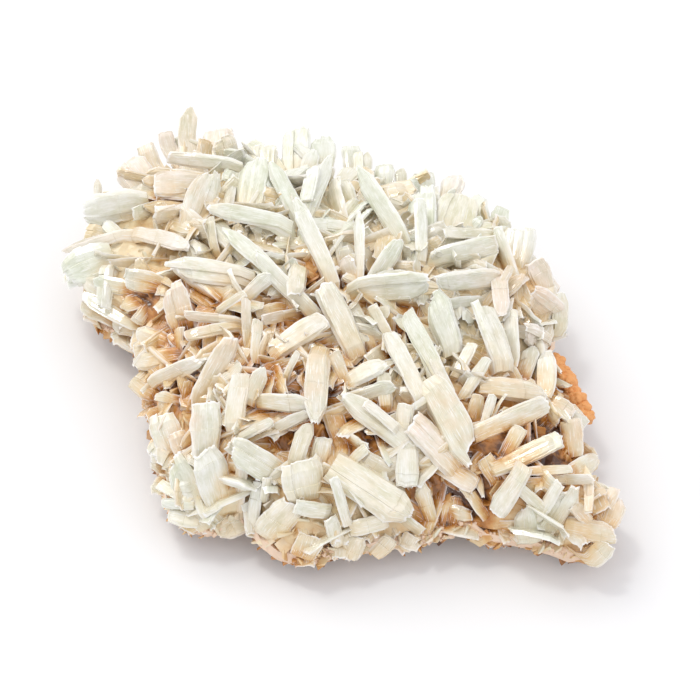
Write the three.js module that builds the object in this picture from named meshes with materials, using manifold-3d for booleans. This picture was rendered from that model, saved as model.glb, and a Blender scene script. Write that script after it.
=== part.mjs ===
// A hand-sized cluster of blue barite: bladed crystals in every direction, grown together on a thin crust, with a
// few rusty lumps on its right edge. Millimetres, +Z up, origin under the middle, in the plane of the resting face.
import * as THREE from "three";
import { ConvexGeometry } from "three/addons/geometries/ConvexGeometry.js";
import { mergeVertices } from "three/addons/utils/BufferGeometryUtils.js";
import Module from "manifold-3d";

const wasm = await Module();
wasm.setup();

// Driving dimensions
const CLUSTER_WIDTH = 104; // left to right
const DOME_HEIGHT = 25; // mean height of the blades' tips over the resting face, in the middle
const RIM_BACK = 19; // the same at the back rim
const RIM_FRONT = 8; // the same at the front rim
const BED_DEPTH = 3; // from the blades' tips down to the massive barite that they grow from
const ROOT_DEPTH = 2.4; // the blades' roots reach this far into it
const CRUST_THICKNESS = 2.6; // at the rim
const CRUST_MIDDLE = 4.5; // height of the crust's top in the middle
const RIM_LIFT = 4.6; // the crust's rim hangs this far over the surface
const FLAT_SHARE = 0.5; // the flat underside reaches this share of the way to the rim
const GAP = 0.35; // between neighbouring solids
const CRUST_ROOM = { above: 0.55, around: 1.5 }; // kept free of blades over the crust and around its rim
const SMALLEST_BLADE = 2.5; // narrower blades aren't modelled
const SIMPLE_BLADE = 3.5; // blades up to this width have straight sides

// The photograph that places are read from: its size, the cluster's left and right edges, and the viewpoint
const PICTURE = { size: 700, left: 53, right: 630 };
const MM_PER_PIXEL = CLUSTER_WIDTH / (PICTURE.right - PICTURE.left);
const VIEW = {
  elevation: THREE.MathUtils.degToRad(50),
  distance: 500,
  aim: new THREE.Vector3(3.5, -4.6, 12),
};
const BACK = new THREE.Vector3(0, -Math.cos(VIEW.elevation), Math.sin(VIEW.elevation));
const UP = new THREE.Vector3(0, Math.sin(VIEW.elevation), Math.cos(VIEW.elevation));
const EYE = VIEW.aim.clone().addScaledVector(BACK, VIEW.distance);

// The point at height z that the photograph shows at a pixel.
function seenAt([px, py], z) {
  const ray = BACK.clone().multiplyScalar(-VIEW.distance);
  ray.x += (px - PICTURE.size / 2) * MM_PER_PIXEL;
  ray.addScaledVector(UP, (PICTURE.size / 2 - py) * MM_PER_PIXEL);
  return EYE.clone().addScaledVector(ray, (z - EYE.z) / ray.z);
}

// The cluster's outline, clockwise from the left tip: pixel x, pixel y, and the height of what shows there
const OUTLINE = [
  [56, 262, 13], [66, 300, 10], [96, 322, 9], [128, 342, 9], [128, 375, 9], [136, 410, 9],
  [141, 448, 8], [150, 484, 7], [160, 516, 6], [174, 536, 6], [196, 548, 5], [222, 541, 5],
  [240, 538, 5], [262, 560, 5], [290, 572, 5], [330, 571, 5], [372, 561, 5], [404, 553, 5],
  [440, 553, 5], [470, 543, 5], [492, 551, 5], [520, 551, 5], [548, 557, 5], [580, 568, 5],
  [602, 570, 5], [620, 555, 6], [628, 520, 8], [614, 486, 10], [602, 460, 11], [590, 416, 12],
  [566, 376, 13], [566, 345, 13], [572, 318, 13], [566, 282, 14], [552, 256, 15], [540, 228, 17],
  [508, 210, 18], [484, 194, 18], [460, 174, 19], [396, 166, 19], [350, 146, 20], [322, 134, 20],
  [292, 126, 20], [262, 142, 19], [226, 130, 18], [190, 122, 18], [160, 134, 18], [136, 148, 17],
  [110, 172, 16], [84, 198, 15], [78, 228, 14],
];
const CORNERS = OUTLINE.map(([px, py, z]) => seenAt([px, py], z));
const HEART = CORNERS.reduce((sum, corner) => sum.add(corner), new THREE.Vector3());
HEART.divideScalar(CORNERS.length);
const SPOKES = CORNERS.map((corner) => {
  const [dx, dy] = [corner.x - HEART.x, corner.y - HEART.y];
  return { angle: Math.atan2(dy, dx), reach: Math.hypot(dx, dy) };
}).sort((a, b) => a.angle - b.angle);

// The outline's distance from the heart in the direction of an angle.
function reachAt(angle) {
  const turn = 2 * Math.PI;
  const lapped = (lap) => SPOKES.map((spoke) => ({ ...spoke, angle: spoke.angle + lap }));
  const spokes = [...lapped(-turn), ...SPOKES, ...lapped(turn)];
  const next = spokes.findIndex((spoke) => spoke.angle > angle);
  const [before, after] = [spokes[next - 1], spokes[next]];
  const share = (angle - before.angle) / Math.max(after.angle - before.angle, 1e-6);
  return THREE.MathUtils.lerp(before.reach, after.reach, share);
}

// Where a point of the plan lies from the heart: its angle, and its share of the way to the outline.
function polar(x, y) {
  const angle = Math.atan2(y - HEART.y, x - HEART.x);
  return { angle, share: Math.hypot(x - HEART.x, y - HEART.y) / reachAt(angle) };
}

// The point of the plan at an angle, a share of the way to the outline and an extra length past it.
function atPolar(angle, share, extra = 0) {
  const reach = reachAt(angle) * share + extra;
  return { x: HEART.x + reach * Math.cos(angle), y: HEART.y + reach * Math.sin(angle) };
}

// 1 at the back rim, 0 at the front rim.
const backness = (angle) => (1 + Math.sin(angle)) / 2;

// Hollows in the blades' envelope, at the pixels where the photograph looks down into gaps
const HOLLOWS = [
  { at: [352, 352], deep: 2.5, wide: 13 },
  { at: [452, 492], deep: 4, wide: 8 },
  { at: [214, 345], deep: 2, wide: 8 },
  { at: [232, 512], deep: 3, wide: 6 },
].map((hollow) => ({ ...hollow, centre: seenAt(hollow.at, RIM_BACK) }));

// Height of the envelope of the blades' tips at a point of the plan.
function envelope(x, y) {
  const { angle, share } = polar(x, y);
  const rim = THREE.MathUtils.lerp(RIM_FRONT, RIM_BACK, backness(angle));
  const dips = HOLLOWS.map(({ centre, deep, wide }) => {
    return deep * Math.exp(-((x - centre.x) ** 2 + (y - centre.y) ** 2) / wide ** 2);
  });
  return rim + (DOME_HEIGHT - rim) * (1 - Math.min(share, 1.02) ** 4) - dips.reduce((a, b) => a + b, 0);
}

// The point at a pixel that lies lift above the envelope.
function onEnvelope(pixel, lift) {
  let point = seenAt(pixel, DOME_HEIGHT);
  for (let i = 0; i < 20; i++) {
    const next = seenAt(pixel, envelope(point.x, point.y) + lift);
    point = point.lerp(next, 0.6);
  }
  return point;
}

// A slow wave over the plan that makes the crust uneven, from -1 to 1.
function unevenness(x, y) {
  const long = 0.5 * Math.sin(0.31 * x + 0.17 * y + 1) + 0.3 * Math.sin(0.23 * y - 0.4 * x);
  return long + 0.2 * Math.sin(0.7 * (x + y));
}

// Heights of the crust's underside, the crust's top and the massive barite's top at a point of the plan.
function undersideAt(x, y) {
  const raised = THREE.MathUtils.smoothstep(polar(x, y).share, FLAT_SHARE, 1.02);
  return (RIM_LIFT + unevenness(x, y)) * raised;
}
function crustTopAt(x, y) {
  const rim = RIM_LIFT + CRUST_THICKNESS + unevenness(x, y);
  return THREE.MathUtils.lerp(CRUST_MIDDLE, rim, Math.min(polar(x, y).share, 1) ** 2);
}
function bedTopAt(x, y) {
  return Math.max(envelope(x, y) - BED_DEPTH + 0.8 * unevenness(2 * x, 2 * y), crustTopAt(x, y) + 1.4);
}

// A value that changes from the front rim to the back rim, most of it behind the middle.
const frontToBack = (front, back) => (angle) => THREE.MathUtils.lerp(front, back, backness(angle) ** 2);

// The crust and the massive barite: how near their rims come to the outline, their rings of corners around the
// heart and the corners in a ring, and how ragged the rim is
const CRUST = { scaleAt: frontToBack(0.995, 0.9), rings: 4, corners: 30, ragged: 0.7 };
const BED = { scaleAt: frontToBack(0.965, 0.86), rings: 3, corners: 30, ragged: 0.7 };

// Ways that a blade ends: the end's width share, and how much shorter its second corner is
const POINT = { tip: 0.3, slant: 0.04 };
const BLUNT = { tip: 0.86, slant: 0.03 };
const SLANT = { tip: 0.6, slant: 0.2 };
const ROUND = { tip: 0.45, slant: 0.08 };

// The corners of a blade: a flat plate from foot to tip whose wide face looks along normal, with a keel that
// narrows towards the root.
function bladeCorners({ foot, tip, root, normal, wide, thick, end }) {
  const axis = tip.clone().sub(foot);
  const across = new THREE.Vector3().crossVectors(axis, normal).normalize();
  const face = new THREE.Vector3().crossVectors(across, axis).normalize();
  const corner = (along, aside, outward) => {
    return foot.clone().addScaledVector(axis, along).addScaledVector(across, aside).addScaledVector(face, outward);
  };
  const half = wide / 2;
  const shoulders = wide > SIMPLE_BLADE ? [corner(0.8, half, 0), corner(0.72, -half, 0)] : [];
  return [
    ...shoulders,
    corner(0, half * 0.9, 0),
    corner(end.slant * 0.5, -half * 0.9, 0),
    corner(1, half * end.tip, 0),
    corner(1 - end.slant, -half * end.tip, 0),
    corner(0.92, half * end.tip * 0.9, -thick),
    corner(0.88 - end.slant, -half * end.tip * 0.9, -thick),
    root.clone().addScaledVector(across, half * 0.5),
    root.clone().addScaledVector(across, -half * 0.5),
  ];
}

// The place inside the massive barite that a blade with this foot grows from: below it and towards the heart.
function rootOf(foot) {
  const { angle, share } = polar(foot.x, foot.y);
  const deep = Math.max(foot.z - bedTopAt(foot.x, foot.y), 0);
  const inner = Math.min(share - (0.7 * deep + 1) / reachAt(angle), BED.scaleAt(angle) - 0.08);
  const { x, y } = atPolar(angle, Math.max(inner, 0));
  const z = Math.min(bedTopAt(x, y) - ROOT_DEPTH, foot.z - 1);
  return new THREE.Vector3(x, y, Math.max(z, crustTopAt(x, y) + 2 * GAP));
}

// A blade placed by the photograph: the pixels of its foot and tip, its width, its foot's and tip's heights over
// the envelope, how it ends, and how far its wide face turns away from the viewer, in degrees.
function seenBlade(foot, tip, wide, lifts, end = BLUNT, turn = 0) {
  return { foot, tip, wide, lifts, end, turn };
}

const BACK_BLADES = [
  seenBlade([187, 152], [191, 103], 3.8, [-3, 3], POINT, 15),
  seenBlade([217, 154], [216, 125], 6.6, [-3, 1], BLUNT, -12),
  seenBlade([230, 160], [224, 136], 5.4, [-3, 1.5], SLANT, 20),
  seenBlade([172, 154], [166, 130], 3.6, [-3, 1], BLUNT, 18),
  seenBlade([153, 168], [143, 143], 4, [-4, 0], BLUNT, -10),
  seenBlade([148, 190], [124, 158], 7.4, [-4, 1], SLANT, 8),
  seenBlade([98, 204], [98, 178], 1.8, [-3, 0.5], POINT, 0),
  seenBlade([148, 205], [82, 216], 7.2, [-2.5, 1.5], SLANT, -14),
  seenBlade([207, 182], [154, 182], 6, [-2, 1], BLUNT, 18),
  seenBlade([241, 166], [166, 158], 3, [-1.5, 1], BLUNT, -20),
  seenBlade([190, 231], [216, 166], 6.6, [-3, 2], SLANT, 10),
  seenBlade([171, 224], [166, 200], 4.2, [-4, -1], BLUNT, 25),
  seenBlade([294, 170], [296, 122], 5.8, [-4, 2], BLUNT, -14),
  seenBlade([324, 170], [324, 131], 5.6, [-4, 1], SLANT, 16),
  seenBlade([262, 174], [262, 141], 5.8, [-4, 1], BLUNT, -6),
  seenBlade([246, 214], [258, 152], 6.6, [-3, 2], SLANT, -12),
  seenBlade([302, 220], [272, 158], 3.6, [-2, 3], POINT, 24),
  seenBlade([331, 278], [292, 196], 3.6, [0, 3.2], ROUND, -16),
  seenBlade([304, 224], [334, 152], 3.4, [-2, 3], POINT, 12),
  seenBlade([300, 218], [312, 163], 3.2, [-2, 2.6], BLUNT, -30),
  seenBlade([291, 222], [206, 208], 3.6, [0, 2], ROUND, 14),
  seenBlade([346, 216], [332, 180], 6.6, [-4, -1], BLUNT, -8),
  seenBlade([354, 226], [310, 221], 2.8, [-2, 0.5], BLUNT, 28),
  seenBlade([354, 172], [352, 143], 4.2, [-4, 0], BLUNT, 10),
  seenBlade([358, 174], [357, 150], 2.2, [-3, 0.5], BLUNT, -16),
  seenBlade([367, 174], [368, 150], 2.2, [-3, 0.5], POINT, 12),
  seenBlade([384, 192], [383, 162], 4.2, [-4, 0.5], BLUNT, -10),
  seenBlade([403, 190], [401, 166], 2.8, [-4, 0], SLANT, 20),
  seenBlade([425, 198], [425, 169], 5, [-4, 0.5], BLUNT, 8),
  seenBlade([448, 198], [455, 171], 4.6, [-4, 0.5], SLANT, -12),
  seenBlade([450, 234], [466, 188], 9, [-3, 1.5], SLANT, 6),
  seenBlade([420, 254], [420, 180], 6, [-3, 2], BLUNT, -10),
  seenBlade([424, 256], [421, 196], 3, [-1, 3], BLUNT, 26),
  seenBlade([404, 242], [352, 166], 4.6, [-1.5, 2.5], POINT, -22),
  seenBlade([371, 286], [403, 238], 3.8, [-1, 2.6], SLANT, 16),
  seenBlade([359, 278], [358, 208], 2.4, [-1, 3], POINT, -24),
  seenBlade([497, 226], [505, 205], 3.6, [-3, 0], BLUNT, 6),
  seenBlade([514, 266], [521, 223], 7, [-4, 1], BLUNT, -8),
  seenBlade([503, 233], [446, 231], 2.4, [-2, 0.5], BLUNT, 22),
];

const LEFT_BLADES = [
  seenBlade([132, 230], [60, 252], 2.4, [-2, 0], POINT, 10),
  seenBlade([128, 228], [187, 243], 3.6, [-2, 1], SLANT, -18),
  seenBlade([113, 256], [62, 276], 8.4, [-3, 1.2], SLANT, 8),
  seenBlade([104, 262], [99, 304], 2, [-2, 1.6], BLUNT, 20),
  seenBlade([112, 262], [108, 308], 2.4, [-2, 1.8], BLUNT, -24),
  seenBlade([128, 322], [80, 292], 3, [-2, 0.5], SLANT, 14),
  seenBlade([160, 286], [122, 279], 4.8, [-2.5, 1], BLUNT, -16),
  seenBlade([153, 296], [118, 306], 3.4, [-4, -2], POINT, 22),
  seenBlade([152, 304], [137, 325], 3, [-4, -1.5], BLUNT, -12),
  seenBlade([148, 326], [144, 342], 3, [-4, -1.5], BLUNT, 18),
  seenBlade([168, 346], [132, 334], 4.6, [-3, 0], SLANT, -8),
  seenBlade([179, 352], [130, 362], 4, [-2, 0.5], SLANT, 20),
  seenBlade([183, 332], [170, 282], 5.6, [-3, 1.5], SLANT, -14),
  seenBlade([252, 276], [164, 264], 5.2, [-1, 2.2], ROUND, 16),
  seenBlade([243, 322], [183, 317], 2.2, [-1, 1], BLUNT, -26),
  seenBlade([244, 323], [184, 334], 2.4, [-1.5, 1.2], BLUNT, 24),
  seenBlade([226, 354], [208, 328], 3.6, [-6, -4], BLUNT, 6),
  seenBlade([184, 338], [207, 366], 3.4, [-3, -0.5], BLUNT, -14),
  seenBlade([197, 403], [236, 336], 4.6, [-2, 2], SLANT, 18),
  seenBlade([226, 382], [246, 346], 3.6, [-4, -1], BLUNT, -30),
  seenBlade([146, 387], [198, 363], 3.6, [-1, 1.5], SLANT, 22),
  seenBlade([147, 395], [128, 380], 3, [-3, -0.5], BLUNT, -10),
  seenBlade([186, 414], [190, 380], 2.2, [-5, -2], BLUNT, 12),
  seenBlade([173, 410], [181, 390], 2.6, [-6, -4], BLUNT, -8),
  seenBlade([248, 347], [247, 296], 2, [-2, 1.2], BLUNT, 18),
  seenBlade([212, 313], [244, 292], 1.8, [-1, 1.6], BLUNT, -20),
  seenBlade([243, 300], [273, 273], 3, [-1.5, 1.6], SLANT, 12),
  seenBlade([213, 247], [208, 216], 2.2, [-2, 1], BLUNT, -16),
  seenBlade([275, 270], [222, 225], 3.4, [0, 2.6], POINT, 20),
  seenBlade([313, 313], [250, 255], 3.6, [-0.5, 2.2], SLANT, -18),
  seenBlade([288, 306], [257, 312], 2.8, [-3, -1], BLUNT, 14),
  seenBlade([303, 312], [264, 322], 2.4, [-2.5, 0], BLUNT, -22),
  seenBlade([255, 362], [260, 318], 2.6, [-1.5, 1.6], BLUNT, 26),
];

const MIDDLE_BLADES = [
  seenBlade([268, 353], [325, 315], 4.6, [-1, 2.4], BLUNT, -20),
  seenBlade([284, 379], [299, 351], 1.4, [-1, 1.5], BLUNT, 10),
  seenBlade([301, 400], [300, 358], 4.4, [-5, -3], BLUNT, 16),
  seenBlade([320, 342], [315, 418], 4.6, [1, 4], POINT, -8),
  seenBlade([359, 356], [323, 280], 5, [-1, 2], BLUNT, 12),
  seenBlade([301, 260], [296, 292], 4, [-1, 2.6], SLANT, -16),
  seenBlade([348, 292], [430, 286], 6.2, [-1, 2], SLANT, 14),
  seenBlade([453, 353], [428, 289], 5.4, [-1, 3], SLANT, -12),
  seenBlade([413, 273], [377, 275], 2.2, [0, 2.4], ROUND, 18),
  seenBlade([353, 285], [342, 258], 3.8, [-3, 0.5], SLANT, -20),
  seenBlade([427, 402], [388, 328], 3.6, [0, 2.6], BLUNT, 22),
  seenBlade([442, 380], [401, 310], 3.8, [0, 2.6], BLUNT, -14),
  seenBlade([427, 378], [474, 462], 6.6, [1, 3.4], SLANT, 10),
  seenBlade([390, 340], [369, 305], 2.6, [-1, 1], BLUNT, -24),
  seenBlade([375, 350], [352, 301], 2.8, [-2.5, 0], BLUNT, 16),
  seenBlade([344, 380], [386, 359], 4, [-0.5, 2.4], SLANT, -28),
  seenBlade([387, 410], [384, 370], 3, [-1.5, 1], BLUNT, 8),
  seenBlade([346, 402], [396, 386], 3.2, [-1.5, 0.6], SLANT, 18),
  seenBlade([345, 382], [331, 352], 2.6, [-2, 0.4], BLUNT, -16),
  seenBlade([503, 278], [438, 284], 4.2, [-1, 2], SLANT, -18),
  seenBlade([434, 258], [499, 246], 4.4, [-1.5, 1.6], BLUNT, 14),
  seenBlade([485, 300], [446, 306], 2.6, [-2, 0.5], BLUNT, -22),
  seenBlade([508, 368], [482, 296], 5, [0, 3], BLUNT, 16),
  seenBlade([498, 263], [504, 313], 3.4, [-1, 1.6], SLANT, -14),
  seenBlade([475, 330], [451, 328], 2.2, [-5, -3], BLUNT, 8),
  seenBlade([456, 375], [473, 341], 2.4, [-2, 0.5], BLUNT, -18),
  seenBlade([454, 396], [432, 355], 2.4, [-1, 1], BLUNT, 24),
  seenBlade([463, 396], [488, 356], 2.4, [-2, 1], BLUNT, -12),
  seenBlade([421, 453], [343, 393], 4.6, [-0.5, 2], ROUND, 16),
  seenBlade([409, 444], [408, 487], 4.4, [0, 2.5], BLUNT, -10),
  seenBlade([401, 431], [366, 400], 2.2, [0.5, 2.4], BLUNT, 26),
  seenBlade([402, 438], [404, 403], 3.4, [-1.5, 1], BLUNT, -18),
  seenBlade([461, 471], [413, 419], 5.4, [-1.5, 1.6], BLUNT, 14),
  seenBlade([438, 463], [476, 485], 4, [-2, 0.5], BLUNT, -8),
  seenBlade([347, 456], [330, 405], 4.4, [-4, -1.5], BLUNT, 12),
  seenBlade([350, 461], [366, 447], 2.2, [-2, 0], BLUNT, -14),
  seenBlade([391, 460], [372, 430], 3.4, [-5, -3], BLUNT, 18),
  seenBlade([403, 481], [365, 461], 3.4, [-3, -1], BLUNT, -20),
  seenBlade([254, 401], [310, 406], 3.8, [-1, 2], SLANT, 16),
  seenBlade([234, 439], [272, 419], 2.2, [-0.5, 1.6], BLUNT, -24),
  seenBlade([271, 432], [310, 413], 2.6, [-1, 1.4], SLANT, 20),
  seenBlade([292, 467], [307, 422], 3.4, [-1, 1.8], SLANT, -12),
  seenBlade([318, 471], [325, 438], 3.8, [-3, -0.5], BLUNT, 14),
];

const FRONT_BLADES = [
  seenBlade([206, 458], [207, 401], 5.8, [-2, 2.4], BLUNT, 12),
  seenBlade([231, 431], [239, 371], 4.2, [-1, 2.4], BLUNT, -16),
  seenBlade([249, 404], [266, 367], 3.2, [-1, 2], POINT, 20),
  seenBlade([276, 475], [230, 447], 5.6, [-1.5, 2], SLANT, -10),
  seenBlade([308, 502], [302, 465], 8, [-2, 2], BLUNT, 8),
  seenBlade([249, 538], [257, 483], 2.6, [-2, 0.5], BLUNT, -22),
  seenBlade([264, 504], [268, 479], 2, [-2, 0.5], BLUNT, 16),
  seenBlade([262, 540], [293, 505], 6.2, [-2, 0.5], SLANT, 10),
  seenBlade([333, 463], [415, 516], 7.6, [0, 2.5], ROUND, -14),
  seenBlade([350, 531], [389, 522], 3.4, [-1, 1], BLUNT, 20),
  seenBlade([350, 528], [336, 477], 2.4, [0.5, 2.5], BLUNT, 26),
  seenBlade([331, 514], [295, 508], 3, [-1, 1.2], BLUNT, -18),
  seenBlade([341, 550], [332, 519], 3, [-2, 0], BLUNT, 12),
  seenBlade([431, 526], [418, 486], 3.2, [-2, 0.5], SLANT, -20),
  seenBlade([448, 536], [454, 499], 6, [-3, 0], SLANT, 8),
  seenBlade([489, 518], [465, 484], 2.6, [-3, 0], BLUNT, 24),
  seenBlade([208, 530], [171, 455], 6.4, [-2, 1.5], SLANT, -14),
  seenBlade([222, 506], [208, 451], 6.4, [-2, 1.8], SLANT, 16),
  seenBlade([172, 452], [158, 411], 6, [-3, 0.5], BLUNT, -8),
  seenBlade([189, 500], [157, 481], 2.4, [-2, 0.5], BLUNT, 20),
  seenBlade([191, 506], [160, 503], 2, [-2, 0.5], BLUNT, -16),
  seenBlade([197, 521], [167, 513], 3.2, [-3, -0.5], BLUNT, 14),
  seenBlade([238, 514], [240, 465], 2.4, [-3, -0.5], BLUNT, -24),
  seenBlade([186, 457], [176, 431], 4, [-4, -1], BLUNT, 10),
  seenBlade([372, 561], [392, 540], 3.4, [-3, -1], BLUNT, 18),
  seenBlade([401, 553], [410, 536], 3, [-3, -1], BLUNT, -14),
  seenBlade([300, 563], [312, 539], 5.4, [-3, -1], BLUNT, 12),
  seenBlade([345, 562], [356, 537], 4.4, [-3, -1], SLANT, -10),
];

const RIGHT_BLADES = [
  seenBlade([479, 435], [553, 405], 4.2, [0, 2], BLUNT, 18),
  seenBlade([483, 384], [549, 393], 4.4, [-1, 1.6], SLANT, -14),
  seenBlade([495, 467], [563, 435], 4, [0, 2], BLUNT, -20),
  seenBlade([527, 463], [493, 515], 4.2, [0.5, 3], BLUNT, 12),
  seenBlade([503, 456], [520, 426], 3, [-3, -0.5], BLUNT, -16),
  seenBlade([529, 441], [561, 413], 3.6, [-4, -1.5], BLUNT, 22),
  seenBlade([573, 456], [568, 417], 4.4, [-3, 0.5], BLUNT, -12),
  seenBlade([569, 477], [604, 457], 4, [-1.5, 1], SLANT, 16),
  seenBlade([524, 471], [573, 468], 1.8, [-1.5, 0.8], BLUNT, -8),
  seenBlade([521, 483], [595, 479], 2, [-1, 1], BLUNT, 20),
  seenBlade([548, 515], [514, 485], 2.6, [-1, 1.4], BLUNT, -18),
  seenBlade([543, 540], [573, 489], 4.8, [-1, 2.2], SLANT, 14),
  seenBlade([536, 519], [558, 483], 2.6, [-0.5, 1.6], BLUNT, -24),
  seenBlade([590, 477], [587, 511], 1.8, [-1, 1.6], BLUNT, 12),
  seenBlade([530, 550], [526, 507], 5.6, [-2, 1], ROUND, -10),
  seenBlade([567, 528], [619, 539], 4.4, [-2, 0.5], SLANT, 18),
  seenBlade([587, 563], [607, 543], 4.6, [-3, -0.5], SLANT, -12),
  seenBlade([604, 526], [617, 493], 6, [-3, 0], SLANT, 8),
  seenBlade([603, 507], [613, 484], 3.6, [-3, 0], BLUNT, -16),
  seenBlade([595, 525], [576, 505], 2.8, [-2, 0], BLUNT, 20),
  seenBlade([498, 483], [483, 459], 3.4, [-3, -1], BLUNT, -14),
  seenBlade([554, 347], [529, 333], 5, [-2, 1], SLANT, 10),
  seenBlade([564, 320], [533, 299], 6, [-3, 0.5], SLANT, -12),
  seenBlade([562, 334], [562, 291], 3.6, [-2, 0.8], ROUND, 18),
  seenBlade([513, 366], [509, 307], 3, [-2, 0.5], BLUNT, -20),
  seenBlade([549, 292], [536, 261], 4.6, [-3, 0.5], BLUNT, 12),
  seenBlade([545, 396], [546, 348], 4.2, [-2, 1], SLANT, -10),
  seenBlade([501, 286], [513, 265], 1.8, [-1, 1.2], BLUNT, 16),
  seenBlade([550, 397], [574, 413], 3.6, [-2, 0.5], SLANT, -18),
  seenBlade([471, 432], [480, 394], 3, [-4, -1], BLUNT, 14),
  seenBlade([546, 500], [527, 485], 3, [-4, -1.5], BLUNT, -8),
  seenBlade([484, 427], [495, 394], 2, [-2, 0.6], BLUNT, 22),
];

// Where a blade of the lists above lies in the part's frame.
function placed({ foot, tip, wide, lifts, end, turn }) {
  const from = onEnvelope(foot, lifts[0]);
  const to = onEnvelope(tip, lifts[1]);
  const axis = to.clone().sub(from).normalize();
  const normal = EYE.clone().sub(to).applyAxisAngle(axis, THREE.MathUtils.degToRad(turn));
  return { foot: from, tip: to, root: rootOf(from), normal, wide, thick: wide * 0.3, end };
}

// A repeatable stream of numbers from 0 to 1.
function dice(seed) {
  let state = seed;
  return () => {
    state = (Math.imul(state, 1664525) + 1013904223) >>> 0;
    return state / 2 ** 32;
  };
}

// Blades that the photograph hardly shows, over the back half of the dome and down the walls on the back and
// both sides. Each leans outwards from its root, wide face up. share is how far out a row's tips are, drop how
// far they lie under the envelope, and from and to are the angles between which the row runs.
const FILL_SEED = 7;
const FILL_ROWS = [
  { count: 3, share: 0.58, drop: 0.8, from: 1.4, to: Math.PI - 0.3 },
  { count: 7, share: 0.8, drop: 1, from: 0.5, to: Math.PI - 0.1 },
  { count: 11, share: 0.98, drop: 1.8, from: 0.1, to: Math.PI + 0.1 },
  { count: 12, share: 0.99, drop: 6.5, from: -0.35, to: Math.PI },
];
function fillBlades() {
  const roll = dice(FILL_SEED);
  const fillBlade = (angle, share, drop) => {
    const { x, y } = atPolar(angle, share);
    const tipHeight = Math.max(envelope(x, y) - drop * (0.7 + 0.6 * roll()), crustTopAt(x, y) + 1);
    const tip = new THREE.Vector3(x, y, tipHeight);
    const heading = angle + 1.8 * (roll() - 0.5);
    const length = 9 + 5 * roll();
    const foot = tip.clone().sub(new THREE.Vector3(Math.cos(heading), Math.sin(heading), 0).setLength(length));
    foot.z = Math.min(envelope(foot.x, foot.y) - 2.6, tip.z + 1.5 - 3 * roll());
    const normal = new THREE.Vector3(roll() - 0.5, roll() - 0.5, 0.9);
    const wide = 4 + 3 * roll();
    return { foot, tip, root: rootOf(foot), normal, wide, thick: 1.7, end: roll() < 0.5 ? BLUNT : SLANT };
  };
  return FILL_ROWS.flatMap(({ count, share, drop, from, to }) => {
    const angles = Array.from({ length: count }, (_, i) => THREE.MathUtils.lerp(from, to, (i + roll()) / count));
    return angles.map((angle) => fillBlade(angle, share, drop));
  });
}

// A closed slab between two surfaces over the outline: rings of corners around the heart. grow widens its rim.
function slab({ low, high, scaleAt, rings, corners, ragged, grow = 0 }) {
  const positions = [];
  const face = (...points) => points.forEach((point) => positions.push(point.x, point.y, point.z));
  const corner = (ring, i, height) => {
    const angle = ((i % corners) / corners) * 2 * Math.PI - Math.PI;
    const edge = ring === rings ? ragged * Math.sin((i % corners) * 2.4) + grow : 0;
    const { x, y } = atPolar(angle, scaleAt(angle) * (ring / rings), edge);
    return new THREE.Vector3(x, y, height(x, y));
  };
  for (let i = 0; i < corners; i++) {
    for (let ring = 0; ring < rings; ring++) {
      const places = [[ring, i], [ring + 1, i], [ring + 1, i + 1], [ring, i + 1]];
      const [topA, topB, topC, topD] = places.map((place) => corner(...place, high));
      const [lowA, lowB, lowC, lowD] = places.map((place) => corner(...place, low));
      face(topA, topB, topC);
      face(lowA, lowC, lowB);
      if (ring > 0) {
        face(topA, topC, topD);
        face(lowA, lowD, lowC);
      }
    }
    face(corner(rings, i, low), corner(rings, i + 1, low), corner(rings, i + 1, high));
    face(corner(rings, i, low), corner(rings, i + 1, high), corner(rings, i, high));
  }
  const geometry = new THREE.BufferGeometry();
  return solidFrom(geometry.setAttribute("position", new THREE.Float32BufferAttribute(positions, 3)));
}

// A geometry as a solid that can be joined and cut, once corners closer than the merging distance are one.
function solidFrom(geometry, mergingDistance = 1e-4) {
  geometry.deleteAttribute("normal");
  geometry.deleteAttribute("uv");
  const merged = mergeVertices(geometry, mergingDistance);
  const vertProperties = merged.getAttribute("position").array;
  const triVerts = new Uint32Array(merged.index.array);
  return new wasm.Manifold(new wasm.Mesh({ numProp: 3, vertProperties, triVerts }));
}

// A joined solid as a geometry.
function geometryFrom(solid) {
  const { vertProperties, triVerts } = solid.getMesh();
  return new THREE.BufferGeometry()
    .setAttribute("position", new THREE.BufferAttribute(new Float32Array(vertProperties), 3))
    .setIndex(new THREE.BufferAttribute(new Uint32Array(triVerts), 1));
}

// The largest body of a solid, without the chips that a cut leaves.
function withoutChips(solid) {
  const bodies = solidFrom(geometryFrom(solid), 1e-3).decompose();
  return bodies.reduce((most, body) => (body.volume() > most.volume() ? body : most));
}

// A faceted lump around a centre.
function lump(centre, radius, turn, flat = 0.8) {
  const geometry = new THREE.IcosahedronGeometry(radius, 0);
  geometry.rotateX(turn).rotateZ(2 * turn).scale(1, 1, flat).translate(centre.x, centre.y, centre.z);
  return solidFrom(geometry);
}

// Rusty lumps on the right edge: pixel x, pixel y, height and radius
const RUST = [
  [556, 364, 10.6, 1.7], [562, 373, 10.4, 1.6], [567, 382, 10.2, 1.9], [571, 391, 10, 1.5], [576, 400, 10, 1.8],
  [582, 408, 9.8, 1.6], [586, 417, 9.6, 1.5],
];
function rustyLumps(extra) {
  const lumps = RUST.map(([px, py, z, radius], i) => lump(seenAt([px, py], z), radius + extra, 1.3 * i));
  return wasm.Manifold.union(lumps);
}

// The bulge of crust that the rust grows on.
const BULGE = { every: 3, radius: 3.6, inward: 2.6, drop: 1.4 };
function bulge(extra) {
  const places = RUST.filter((_, i) => i % BULGE.every === 0);
  return wasm.Manifold.union(places.map(([px, py, z], i) => {
    const middle = seenAt([px, py], z);
    middle.add(HEART.clone().sub(middle).setZ(0).setLength(BULGE.inward));
    return lump(middle.setZ(z - BULGE.drop), BULGE.radius + extra, 0.9 * i);
  }));
}

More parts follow.
